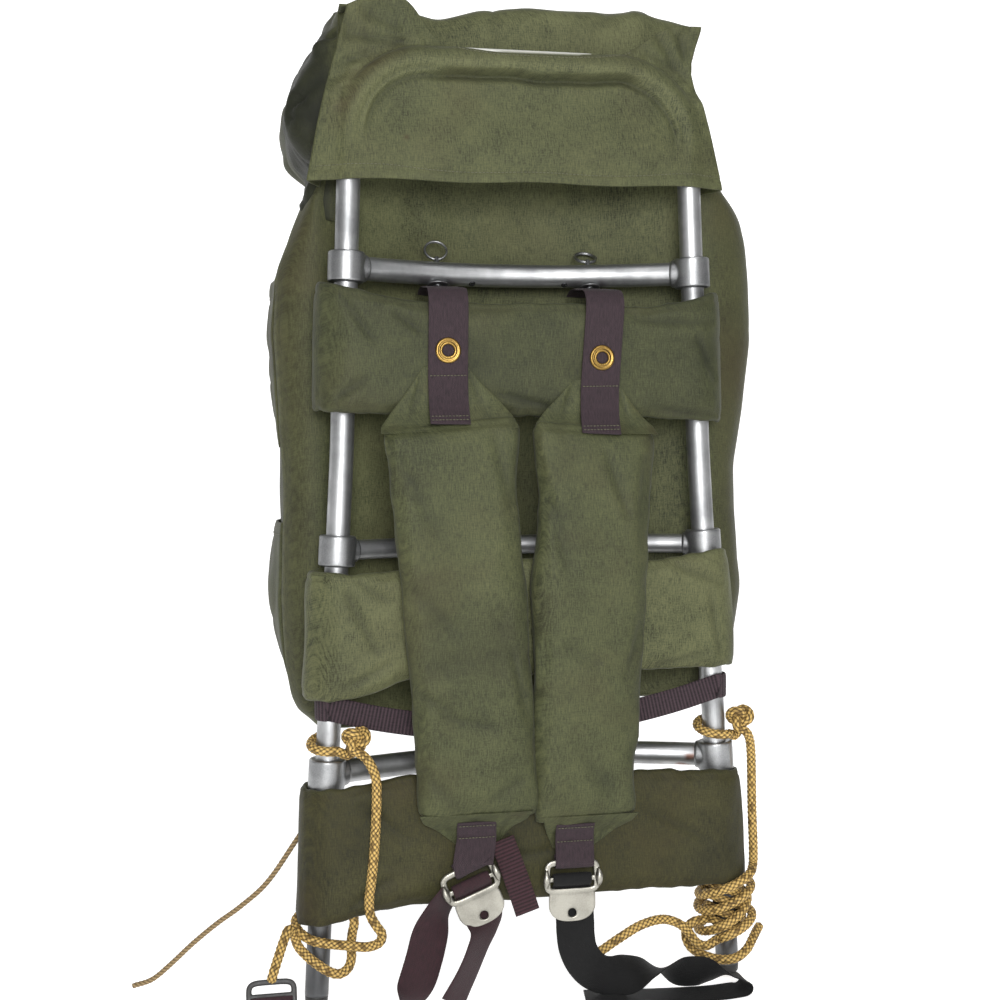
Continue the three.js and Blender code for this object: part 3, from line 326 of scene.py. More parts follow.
def capped(grid: Array) -> Surface:
    """Makes a closed tube of a grid whose rows are rings, with a fan of triangles over each end.

    Args:
        grid: Rings by sides by three.

    Returns:
        The closed surface.
    """
    tube = grid_surface(grid, ring=True)
    rows, columns = grid.shape[:2]
    count = rows * columns
    side = np.arange(columns)
    after = (side + 1) % columns
    first = np.stack([np.full(columns, count), after, side], axis=1)
    base = (rows - 1) * columns
    last = np.stack([np.full(columns, count + 1), base + side, base + after], axis=1)
    points = np.vstack([tube.points, grid[0].mean(axis=0), grid[-1].mean(axis=0)])
    blank = np.zeros((columns, 3, 2))
    return Surface(points, tube.faces + [first, last], tube.corner_uv + [blank, blank])


def sweep(path: Array, profile: Array, up: Array) -> Surface:
    """Carries a closed profile along a path: path + side times its first number + up times its second.

    The up direction goes along without twist: each step drops what points along the path.

    Args:
        path: Points of the path.
        profile: Sides by two, or rings by sides by two where it changes along the path.
        up: Direction of the profile's second number at the start.

    Returns:
        The closed surface.
    """
    tangent = unit(np.gradient(path, axis=0))
    ups = np.empty_like(path)
    for index, ahead in enumerate(tangent):
        up = unit(up - ahead * (up @ ahead))
        ups[index] = up
    side = np.cross(tangent, ups)
    shape = np.broadcast_to(profile, (len(path),) + profile.shape[-2:])
    return capped(path[:, None] + side[:, None] * shape[..., :1] + ups[:, None] * shape[..., 1:])


def circle(radius: Array, sides: int) -> Array:
    """Points round a circle, one ring for each radius given."""
    angle = full_turn(sides)
    return np.asarray(radius)[..., None, None] * np.stack([np.cos(angle), np.sin(angle)], axis=-1)


def pill(width: float, thick: float, power: float) -> Array:
    """A blunt oval profile of 16 sides: cosine and sine raised to a power below one."""
    angle = full_turn(16)
    return 0.5 * np.stack([width * blunt(np.cos(angle), power), thick * blunt(np.sin(angle), power)], -1)


def rim(loop: Array, face: Array, profile: Array) -> Surface:
    """Carries a profile round a loop: loop + way out times its first number + face times its second."""
    flank = np.cross(unit(np.roll(loop, -1, 0) - np.roll(loop, 1, 0)), face)[:, None]
    return grid_surface(loop[:, None] + profile[:, :1] * flank + profile[:, 1:] * face, ring=True, loop=True)


def lathe(profile: Array, centre: Array, axis: Array, sides: int) -> Surface:
    """Turns a closed profile round an axis: radius and height become a ring of points.

    Args:
        profile: Points of radius and height along the axis, in a closed loop.
        centre: Where height is zero.
        axis: Direction of the axis.
        sides: Points round the axis.

    Returns:
        The closed surface.
    """
    axis = unit(axis)
    first = unit(np.cross(axis, UP if abs(axis[2]) < 0.9 else ACROSS))
    second = np.cross(axis, first)
    angle = full_turn(sides)[:, None]
    round_way = np.cos(angle) * first + np.sin(angle) * second
    grid = centre + profile[:, None, :1] * round_way[None] + profile[:, None, 1:] * axis
    return grid_surface(grid, ring=True, loop=True)


def ribbon(places: Array, width: float, thick: float, step: float, rib: float = 0) -> Surface:
    """Lays a flat strap: a thin blunt section whose width follows given directions along a smooth path.

    Args:
        places: Rows of a point and the direction of the width there, six numbers each.
        width: Width of the strap.
        thick: Its thickness.
        step: Distance between sections.
        rib: Distance between cross ribs, or nothing for a plain weave.

    Returns:
        The closed surface, with a value "rib" of 0 in the furrows to 1 on the ribs.
    """
    line = smooth_path(places, step)
    path = line[:, :3]
    tangent = unit(np.gradient(path, axis=0))
    wide = unit(line[:, 3:] - tangent * np.sum(line[:, 3:] * tangent, axis=1, keepdims=True))
    normal = np.cross(tangent, wide)
    across = np.sin(np.linspace(-0.5 * np.pi, 0.5 * np.pi, 15))
    half = 0.5 * thick * (1 - np.abs(across) ** 8) ** 0.5
    section = np.concatenate([np.stack([across, half], 1), np.stack([across, -half], 1)[-2:0:-1]])
    ridge = np.full(len(path), 0.42)
    swell = np.ones(len(path))
    if rib:
        ridge = 0.5 + 0.5 * np.cos(2 * np.pi * reach_along(path) / rib)
        swell = 0.62 + 0.38 * ridge
    grid = path[:, None] + 0.5 * width * section[None, :, :1] * wide[:, None]
    grid = grid + (section[None, :, 1:] * swell[:, None, None]) * normal[:, None]
    surface = capped(grid)
    value = np.repeat(ridge, len(section))
    surface.values["rib"] = np.concatenate([value, ridge[:1], ridge[-1:]])
    return surface


def stitches(path: Array, outward: Array, pitch: float, long: float, thick: float) -> Surface:
    """Lays thread along a seam: each stitch is a four-sided spindle, sunk by half into the cloth.

    Args:
        path: Points of the seam.
        outward: Direction out of the cloth at each point.
        pitch: Distance from stitch to stitch.
        long: Length of a stitch.
        thick: Thickness of the thread.

    Returns:
        All the stitches of the seam.
    """
    line = even_path(np.hstack([path, np.broadcast_to(outward, path.shape)]), pitch)
    centre = line[:, :3]
    ahead = unit(np.gradient(centre, axis=0))
    out = unit(line[:, 3:])
    flank = np.cross(ahead, out)
    place = np.array([-0.5, -0.3, 0.3, 0.5]) * long
    girth = np.array([0.25, 0.5, 0.5, 0.25]) * thick
    corner = np.array([[1, 0], [0, 1], [-1, 0], [0, -1]])
    points = centre[:, None, None] + place[None, :, None, None] * ahead[:, None, None]
    points = points + girth[None, :, None, None] * (
        corner[None, None, :, :1] * flank[:, None, None] + corner[None, None, :, 1:] * out[:, None, None]
    )
    ring, side = np.meshgrid(np.arange(3), np.arange(4), indexing="ij")
    after = (side + 1) % 4
    quads = np.stack([ring * 4 + side, ring * 4 + after, ring * 4 + 4 + after, ring * 4 + 4 + side], -1)
    quads = np.concatenate([quads.reshape(-1, 4), [[3, 2, 1, 0]], [[12, 13, 14, 15]]])
    faces = (quads[None] + 16 * np.arange(len(centre))[:, None, None]).reshape(-1, 4)
    return Surface(points.reshape(-1, 3), [faces], [np.zeros((len(faces), 4, 2))])


# Blender objects


def shade_smooth(piece: Piece) -> None:
    """Shades every face of a piece smoothly."""
    piece.data.polygons.foreach_set("use_smooth", np.ones(len(piece.data.polygons), dtype=bool))


def set_value(piece: Piece, label: str, values: Array) -> None:
    """Keeps one number per point of a piece for its material."""
    attribute = piece.data.attributes.new(label, "FLOAT", "POINT")
    attribute.data.foreach_set("value", values.astype(np.float32))


def new_object(name: str, surface: Surface, material: bpy.types.Material) -> Piece:
    """Puts a surface's points and faces into a new object of the scene.

    Args:
        name: Name of the object.
        surface: The finished surface.
        material: Its material.

    Returns:
        The new object.
    """
    mesh = bpy.data.meshes.new(name)
    mesh.from_pydata(surface.points.tolist(), [], [row for face in surface.faces for row in face.tolist()])
    mesh.materials.append(material)
    item = bpy.data.objects.new(name, mesh)
    bpy.context.scene.collection.objects.link(item)
    shade_smooth(item)
    return item


def make_piece(name: str, surface: Surface, finish: Finish, *nodes: str) -> Piece:
    """Makes a piece with its UV map and values, turns its faces outwards and lets it ride.

    Args:
        name: Name of the piece.
        surface: The finished surface.
        finish: Its material and the record's slot.
        nodes: CAD nodes that it stands for.

    Returns:
        The new object.
    """
    piece = new_object(name, surface, finish.material)
    mesh = piece.data
    pairs = np.concatenate([pair.reshape(-1) for pair in surface.corner_uv])
    mesh.uv_layers.new(name="UVMap").data.foreach_set("uv", pairs.astype(np.float32))
    for label, values in surface.values.items():
        set_value(piece, label, values)
    work = bmesh.new()
    work.from_mesh(mesh)
    bmesh.ops.recalc_face_normals(work, faces=work.faces)
    work.to_mesh(mesh)
    work.free()
    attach(piece, ROOT)
    if nodes:
        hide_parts(*nodes)
    LOG.info("%s: %d faces", name, len(mesh.polygons))
    return piece


def settle(piece: Piece) -> None:
    """Applies a piece's modifiers by keeping its evaluated mesh, shaded smoothly.

    Args:
        piece: The piece.
    """
    graph = bpy.context.evaluated_depsgraph_get()
    mesh = bpy.data.meshes.new_from_object(piece.evaluated_get(graph))
    piece.modifiers.clear()
    piece.data = mesh
    shade_smooth(piece)


def remesh(piece: Piece, voxel: float) -> None:
    """Adds a modifier that rebuilds a piece of even voxels."""
    modifier = piece.modifiers.new("remesh", "REMESH")
    modifier.mode, modifier.voxel_size = "VOXEL", voxel


def fuse(piece: Piece, voxel: float, rounds: int) -> None:
    """Melts a piece's overlapping parts into one casting: a voxel remesh, then rounds of smoothing.

    Args:
        piece: The piece to fuse.
        voxel: Size of a voxel.
        rounds: Rounds of smoothing.
    """
    remesh(piece, voxel)
    soften = piece.modifiers.new("soften", "SMOOTH")
    soften.factor = 0.5
    soften.iterations = rounds
    settle(piece)


def wall(piece: Piece, thick: float) -> None:
    """Gives a sheet its thickness, inwards from its outer face."""
    solid = piece.modifiers.new("wall", "SOLIDIFY")
    solid.thickness, solid.offset = thick, -1


def read_rows(items: bpy.types.bpy_prop_collection, label: str) -> Array:
    """Reads three numbers from each item of a mesh's list.

    Args:
        items: The list.
        label: Name of the numbers.

    Returns:
        The numbers as rows of three.
    """
    numbers = np.empty(3 * len(items))
    items.foreach_get(label, numbers)
    return numbers.reshape(-1, 3)


def read_points(piece: Piece) -> Array:
    """The points of a piece's mesh as rows of three."""
    return read_rows(piece.data.vertices, "co")


def write_points(piece: Piece, points: Array) -> None:
    """Puts points back into a piece's mesh."""
    piece.data.vertices.foreach_set("co", points.astype(np.float32).ravel())
    piece.data.update()


def read_normals(piece: Piece) -> Array:
    """The directions out of a piece's mesh at its points."""
    return read_rows(piece.data.vertex_normals, "vector")


@dataclass(frozen=True)
class Swelling:
    """How a padded piece is blown up as cloth."""

    cap: float
    voxel: float = 4.5 * MM
    pressure: float = 4
    stiffness: float = 12
    bending: float = 0.3
    frames: int = 20

    def run(self, piece: Piece) -> None:
        """Remeshes a closed piece, swells it as cloth by inner pressure and keeps each point near its start.

        Args:
            piece: The padded piece.
        """
        remesh(piece, self.voxel)
        settle(piece)
        start = read_points(piece)
        cloth = piece.modifiers.new("swell", "CLOTH").settings
        cloth.quality = 4
        cloth.use_pressure = True
        cloth.uniform_pressure_force = self.pressure
        cloth.effector_weights.gravity = 0
        cloth.tension_stiffness = self.stiffness
        cloth.compression_stiffness = self.stiffness
        cloth.bending_stiffness = self.bending
        scene = bpy.context.scene
        for number in range(1, self.frames + 1):
            scene.frame_set(number)
        settle(piece)
        scene.frame_set(1)
        shift = read_points(piece) - start
        length = np.linalg.norm(shift, axis=1, keepdims=True)
        kept = self.cap * np.tanh(length / self.cap)
        write_points(piece, start + shift * kept / np.maximum(length, 1e-9))
        finer = piece.modifiers.new("finer", "SUBSURF")
        finer.levels = 1
        finer.render_levels = 1
        settle(piece)


# Finishes


class Desk:
    """Lays out the nodes of one material."""

    def __init__(self, name: str) -> None:
        """Starts a material with an empty principled shader.

        Args:
            name: Name of the material.
        """
        self.material = bpy.data.materials.new(name)
        self.material.use_nodes = True
        self.tree = self.material.node_tree

    def fill(self, node: bpy.types.Node, inputs: dict[str | int, Value]) -> None:
        """Links a node's inputs to sockets or sets their values.

        Args:
            node: The node.
            inputs: Sockets or plain values by the inputs' names or numbers.
        """
        for key, value in inputs.items():
            if isinstance(value, Socket):
                self.tree.links.new(value, node.inputs[key])
            else:
                node.inputs[key].default_value = value

    def node(self, kind: str, output: str | int, inputs: dict[str | int, Value], **settings: str) -> Socket:
        """Adds a node, sets its choices and fills its inputs.

        Args:
            kind: Kind of node.
            output: Name or number of the output that is wanted.
            inputs: Sockets or plain values by the inputs' names or numbers.
            settings: The node's own choices.

        Returns:
            The wanted output.
        """
        node = self.tree.nodes.new("ShaderNode" + kind)
        for name, choice in settings.items():
            setattr(node, name, choice)
        self.fill(node, inputs)
        return node.outputs[output]

    def place(self) -> Socket:
        """The object's own coordinates in metres."""
        return self.node("TexCoord", "Object", {})

    def unwrapped(self) -> Socket:
        """The piece's own UV map, in metres."""
        return self.node("UVMap", 0, {})

    def axes(self, place: Socket) -> list[Socket]:
        """The three numbers of a place."""
        return list(self.node("SeparateXYZ", 0, {"Vector": place}).node.outputs)

    def cloth_place(self) -> Socket:
        """Coordinates laid on cloth: x and y together run across it, z and some of y run along it."""
        x, y, z = self.axes(self.place())
        return self.node("CombineXYZ", 0, {"X": self.scaled(x, 1, y), "Y": self.scaled(y, 0.4, z)})

    def noise(self, place: Socket, scale: float, detail: float) -> Socket:
        """Smooth noise of about 0 to 1."""
        return self.node("TexNoise", "Fac", {"Vector": place, "Scale": scale, "Detail": detail})

    def streaks(self, place: Socket, across: float, along: float, detail: float) -> Socket:
        """Noise drawn out along one axis: coordinates scaled by two numbers of cells per metre."""
        return self.noise(self.node("Mapping", 0, {"Vector": place, "Scale": (across, along, 1)}), 1, detail)

    def math(self, way: str, *values: Value) -> Socket:
        """One sum of numbers."""
        return self.node("Math", 0, dict(enumerate(values)), operation=way)

    def scaled(self, value: Socket, factor: Value, plus: Value = 0) -> Socket:
        """A value times a factor, plus another."""
        return self.math("MULTIPLY_ADD", value, factor, plus)

    def wave(self, value: Socket, factor: float) -> Socket:
        """The sine of a value times a factor."""
        return self.math("SINE", self.scaled(value, factor))

    def value(self, label: str) -> Socket:
        """A number kept on the piece's points."""
        return self.node("Attribute", "Fac", {}, attribute_name=label)

    def ramp(self, factor: Socket, low: float, high: float) -> Socket:
        """Spreads a range of numbers to 0 to 1."""
        return self.node("MapRange", "Result", {"Value": factor, "From Min": low, "From Max": high})

    def blend(self, factor: Socket, first: Value, second: Value) -> Socket:
        """Mixes two colours by a factor."""
        return self.node("Mix", 2, {"Factor": factor, "A": first, "B": second}, data_type="RGBA")

    def bump(self, height: Socket, depth: float, strength: float, **below: Socket) -> Socket:
        """Raises the surface by a height, over another bump where one is given as Normal."""
        return self.node("Bump", 0, {"Height": height, "Distance": depth, "Strength": strength, **below})

    def dress(self, **inputs: Value) -> bpy.types.Material:
        """Fills the shader's inputs, named with underscores for spaces, and gives the material."""
        self.fill(self.tree.nodes["Principled BSDF"], {key.replace("_", " "): inputs[key] for key in inputs})
        return self.material


@dataclass(frozen=True)
class ClothFinish:
    """Coated pack cloth: crossed thread streaks, slow mottling, dirt and painted shade, rubbed edges and
    painted highlights, and a pale lining.
    """

    name: str
    dark: tuple
    light: tuple
    soil: tuple = linear(50, 40, 23)
    wear_and_highlight: tuple = linear(92, 94, 64)
    shade: tuple = linear(20, 22, 14)
    lining: tuple = linear(206, 206, 200)

    def build(self) -> bpy.types.Material:
        """Builds the cloth's material from its colours.

        Returns:
            The material.
        """
        desk = Desk(self.name)
        place = desk.cloth_place()
        warp = desk.streaks(place, 1500, 130, 2)
        weft = desk.streaks(place, 130, 1500, 2)
        fibre = desk.noise(desk.place(), 800, 3)
        thread = desk.scaled(fibre, 0.3, desk.scaled(warp, 0.48, desk.scaled(weft, 0.22)))
        patch = desk.noise(desk.place(), 13, 3)
        worn = desk.noise(desk.place(), 48, 4)
        tone = desk.scaled(desk.ramp(patch, 0.3, 0.7), 0.35, desk.ramp(thread, 0.39, 0.61))
        tone = desk.scaled(desk.ramp(worn, 0.3, 0.7), 0.35, tone)
        colour = desk.blend(desk.ramp(tone, 0.1, 1.6), self.dark, self.light)
        colour = desk.blend(desk.scaled(desk.ramp(patch, 0.52, 0.75), 0.3), colour, self.soil)
        # Brown blend: real dirt and stains, and on some pieces painted shade in wrinkle lines and on the
        # lid's left side.
        colour = desk.blend(desk.value("soil"), colour, self.soil)
        # Paler blend on raised threads: rubbed wear at edges and seams, and painted highlights on the
        # sleeve's tube ridge, the lid and the recessed back panel.
        lightened = desk.scaled(desk.value("wear_and_highlight"), desk.scaled(desk.ramp(tone, 0.2, 1.4), 1.9))
        colour = desk.blend(lightened, colour, self.wear_and_highlight)
        # Painted shade: creases, hollows, edges and shaded sides are blended towards the dark shade colour.
        colour = desk.blend(desk.value("dark"), colour, self.shade)
        colour = desk.blend(desk.value("pale"), colour, self.lining)
        crumple = desk.bump(desk.noise(desk.place(), 55, 3), 4 * MM, 0.22)
        weave = desk.bump(thread, 0.7 * MM, 0.55, Normal=crumple)
        return desk.dress(Base_Color=colour, Roughness=desk.ramp(thread, -1.4, 1.5), Normal=weave,
                          Sheen_Weight=0.04, Specular_IOR_Level=0.22)


@dataclass(frozen=True)
class WebbingFinish:
    """Woven strap: ribs across its length and paler worn crowns."""

    name: str
    dark: tuple
    light: tuple
    pitch: float = 1.1 * MM

    def build(self) -> bpy.types.Material:
        """Builds the strap's material on its unwrapped length and width.

        Returns:
            The material.
        """
        desk = Desk(self.name)
        place = desk.unwrapped()
        across, along, _ = desk.axes(place)
        turn = 2 * math.pi / self.pitch
        thread = desk.scaled(desk.wave(along, turn), desk.wave(across, turn * 0.8))
        wear = desk.streaks(place, 900, 160, 3)
        tone = desk.scaled(thread, 0.28, desk.scaled(desk.ramp(wear, 0.3, 0.7), 0.4))
        tone = desk.scaled(desk.value("rib"), 0.85, tone)
        colour = desk.blend(desk.ramp(tone, 0.1, 1.15), self.dark, self.light)
        bump = desk.bump(thread, 0.35 * MM, 0.5)
        return desk.dress(Base_Color=colour, Roughness=desk.ramp(wear, -1.6, 1.4), Normal=bump,
                          Sheen_Weight=0.04, Specular_IOR_Level=0.25)


class Grain(Enum):
    """How a metal's surface was worked."""

    DRAWN = "drawn"
    CAST = "cast"


@dataclass(frozen=True)
class MetalFinish:
    """Worn metal: drawn tubes have long scratches, castings an even skin, and both have dull patches."""

    name: str
    bright: tuple
    dull: tuple
    low: float
    high: float
    grain: Grain = Grain.CAST
    rust: tuple = linear(110, 60, 28)
    painted_shade: tuple = linear(74, 75, 77)

    def build(self) -> bpy.types.Material:
        """Builds the metal's material.

        Returns:
            The material.
        """
        desk = Desk(self.name)
        if self.grain is Grain.DRAWN:
            line = desk.streaks(desk.unwrapped(), 2600, 22, 3)
        else:
            line = desk.noise(desk.place(), 900, 3)
        patch = desk.noise(desk.place(), 38, 4)
        tone = desk.scaled(line, 0.45, desk.scaled(desk.ramp(patch, 0.35, 0.7), 0.6))
        tone = desk.ramp(tone, 0.1, 0.9)
        colour = desk.blend(tone, self.bright, self.dull)
        colour = desk.blend(desk.value("rust"), colour, self.rust)
        # Painted shade on metal: the hoop's feet and the hole dishes are blended towards a dark grey.
        colour = desk.blend(desk.value("painted_shade"), colour, self.painted_shade)
        rough = desk.scaled(tone, self.high - self.low, self.low)
        bump = desk.bump(line, 0.12 * MM, 0.35)
        return desk.dress(Base_Color=colour, Roughness=rough, Normal=bump, Metallic=1)


@dataclass(frozen=True)
class RopeFinish:
    """Plaited or twisted cord: painted highlights on the crowns, painted shade in the furrows and single dark
    tows.
    """

    name: str
    crown: tuple
    furrow: tuple
    fleck: tuple

    def build(self) -> bpy.types.Material:
        """Builds the cord's material from the values kept on its points.

        Returns:
            The material.
        """
        desk = Desk(self.name)
        fibre = desk.streaks(desk.unwrapped(), 2600, 900, 2)
        tone = desk.scaled(fibre, 0.5, desk.value("crown"))
        # Painted light: the crowns of the tows are blended bright and the furrows between them dark.
        colour = desk.blend(desk.ramp(tone, 0.48, 1.2), self.furrow, self.crown)
        colour = desk.blend(desk.value("fleck"), colour, self.fleck)
        bump = desk.bump(fibre, 0.25 * MM, 0.4)
        return desk.dress(Base_Color=colour, Roughness=desk.ramp(fibre, -0.9, 1.3), Normal=bump,
                          Sheen_Weight=0.04, Specular_IOR_Level=0.25)


@dataclass(frozen=True)
class MouldedFinish:
    """Moulded plastic or thread: fine grain and a soft gloss that varies."""

    name: str
    dark: tuple
    light: tuple

    def build(self) -> bpy.types.Material:
        """Builds the material from its two tones.

        Returns:
            The material.
        """
        desk = Desk(self.name)
        grain = desk.noise(desk.place(), 420, 3)
        colour = desk.blend(desk.ramp(grain, 0.3, 0.75), self.dark, self.light)
        return desk.dress(Base_Color=colour, Roughness=desk.ramp(grain, -0.6, 1.5),
                          Normal=desk.bump(grain, 0.2 * MM, 0.4))


@dataclass(frozen=True)
class Finish:
    """A built material with the record's slot that it stands for."""

    material: bpy.types.Material
    slot: Slot


class Finishes:
    """Every material of the pack, each built once."""

    def __init__(self) -> None:
        """Builds the materials from their colours."""
        olive = ClothFinish("olive_cloth", linear(35, 38, 22), linear(77, 80, 51))
        hip = ClothFinish("hip_cloth", linear(27, 27, 12), linear(61, 58, 29))
        thread = MouldedFinish("seam_thread", linear(62, 62, 44), linear(98, 97, 74)).build()
        bright, dull = linear(200, 201, 202), linear(132, 133, 134)
        tube = MetalFinish("tube_aluminium", bright, dull, 0.37, 0.55, Grain.DRAWN)
        cast = MetalFinish("cast_aluminium", linear(172, 173, 174), linear(112, 113, 114), 0.34, 0.56)
        plated = MetalFinish("plated_steel", linear(178, 175, 165), linear(122, 120, 112), 0.3, 0.5)
        brass = MetalFinish("worn_brass", linear(150, 122, 66), linear(82, 62, 33), 0.28, 0.5)
        purple = WebbingFinish("purple_webbing", linear(14, 9, 12), linear(68, 53, 59))
        maroon = WebbingFinish("maroon_webbing", linear(18, 8, 10), linear(63, 37, 43))
        black = WebbingFinish("black_webbing", linear(2, 2, 2), linear(14, 14, 15))
        plastic = MouldedFinish("black_plastic", linear(14, 13, 13), linear(36, 34, 33))
        rope = RopeFinish("gold_rope", linear(206, 171, 100), linear(40, 27, 8), linear(66, 46, 16))
        cord = RopeFinish("tan_cord", linear(150, 128, 92), linear(70, 56, 36), linear(92, 75, 50))
        self.olive = Finish(olive.build(), Slot.OLIVE)
        self.hip = Finish(hip.build(), Slot.HIP)
        self.cloth_thread = Finish(thread, Slot.OLIVE)
        self.strap_thread = Finish(thread, Slot.PURPLE)
        self.tube = Finish(tube.build(), Slot.ALUMINIUM)
        self.cast = Finish(cast.build(), Slot.ALUMINIUM)
        self.plated = Finish(plated.build(), Slot.BUCKLE)
        self.brass = Finish(brass.build(), Slot.BRASS)
        self.purple = Finish(purple.build(), Slot.PURPLE)
        self.maroon = Finish(maroon.build(), Slot.PURPLE)
        self.black = Finish(black.build(), Slot.BLACK)
        self.plastic = Finish(plastic.build(), Slot.PLASTIC)
        self.rope = Finish(rope.build(), Slot.ROPE)
        self.cord = Finish(cord.build(), Slot.CORD)


# Studio


@dataclass
class Studio:
    """Camera at the picture's place, soft lights and a pale floor that curves up behind."""

    eye: tuple[float, float, float] = (-0.2356, -1.1224, -0.1508)
    yaw: float = math.radians(10.85)
    pitch: float = math.radians(-1.82)
    roll: float = math.radians(-0.41)
    lens: float = 50.4
    floor: float = -0.5906

    def hang(self, data: bpy.types.ID, eye: tuple, *ways: Array) -> Piece:
        """Puts a camera or a light into the scene.

        Args:
            data: The camera or light.
            eye: Where it hangs.
            ways: Directions of its width, its height and its back.

        Returns:
            The new object.
        """
        matrix = np.eye(4)
        matrix[:3] = np.stack([*ways, eye], 1)
        item = bpy.data.objects.new(data.name, data)
        item.matrix_world = Matrix(matrix.tolist())
        bpy.context.scene.collection.objects.link(item)
        return item

    def camera(self) -> None:
        """Places the camera by its heading, dip and roll."""
        flat = math.cos(self.pitch)
        look = np.array([math.sin(self.yaw) * flat, math.cos(self.yaw) * flat, math.sin(self.pitch)])
        right = unit(np.cross(look, UP))
        up = np.cross(right, look)
        cos, sin = math.cos(self.roll), math.sin(self.roll)
        data = bpy.data.cameras.new("camera")
        data.lens = self.lens
        data.sensor_width = 36
        ways = (cos * right + sin * up, cos * up - sin * right, -look)
        bpy.context.scene.camera = self.hang(data, self.eye, *ways)

    def light(self, name: str, eye: tuple, size: float, power: float) -> None:
        """Hangs one square soft light that faces the middle of the pack.

        Args:
            name: Name of the light.
            eye: Where it hangs.
            size: Length of its sides.
            power: Power in watts.
        """
        data = bpy.data.lights.new(name, "AREA")
        data.size = size
        data.energy = power
        away = unit(np.array(eye) - np.array([0, 0, -0.2]))
        side = unit(np.cross(UP, away))
        self.hang(data, eye, side, np.cross(away, side), away)

    def build(self) -> None:
        """Builds the floor that curves up behind and glows a little, the lights and the even light."""
        across = np.linspace(-6, 6, 9)
        turn = np.linspace(0, 0.5 * np.pi, 13)
        depth = np.concatenate([[-3, -1, 1], 1.6 + 1.2 * np.sin(turn), [2.8]])
        rise = np.concatenate([np.zeros(3), 1.2 * (1 - np.cos(turn)), [5]])
        x, y = np.meshgrid(across, depth)
        grid = np.stack([x, y, np.broadcast_to(self.floor + rise[:, None], x.shape)], -1)
        desk = Desk("pale_floor")
        white = (1, 1, 1, 1)
        colour = desk.blend(desk.noise(desk.place(), 2, 1), (0.88, 0.88, 0.88, 1), (0.92, 0.92, 0.92, 1))
        paint = desk.dress(Base_Color=colour, Roughness=0.9, Emission_Color=white, Emission_Strength=0.62)
        new_object("studio_floor", grid_surface(grid), paint)
        self.light("key", (-0.25, -2.1, 0.25), 0.8, 42)
        self.light("fill", (0.2, -1.5, 1.9), 1.6, 22)
        world = bpy.data.worlds.new("even_light")
        world.use_nodes = True
        background = world.node_tree.nodes["Background"]
        background.inputs["Color"].default_value = white
        background.inputs["Strength"].default_value = 0.28
        bpy.context.scene.world = world
        bpy.context.scene.view_settings.view_transform = "Standard"


# Ropes


def round_rail(side: Side, angles: Array, heights: Array, radius: Array) -> Array:
    """Points round an upright: its middle at each height plus a radius at each angle in degrees.

    Args:
        side: Which upright.
        angles: Angles in degrees, 0 to the right and 90 away from the viewer.
        heights: Heights in metres.
        radius: Distance from the upright's middle.

    Returns:
        The points.
    """
    turn = np.radians(angles)
    x = side.value * rail_half(heights) + radius * np.cos(turn)
    return np.stack([x, radius * np.sin(turn), heights], axis=1)


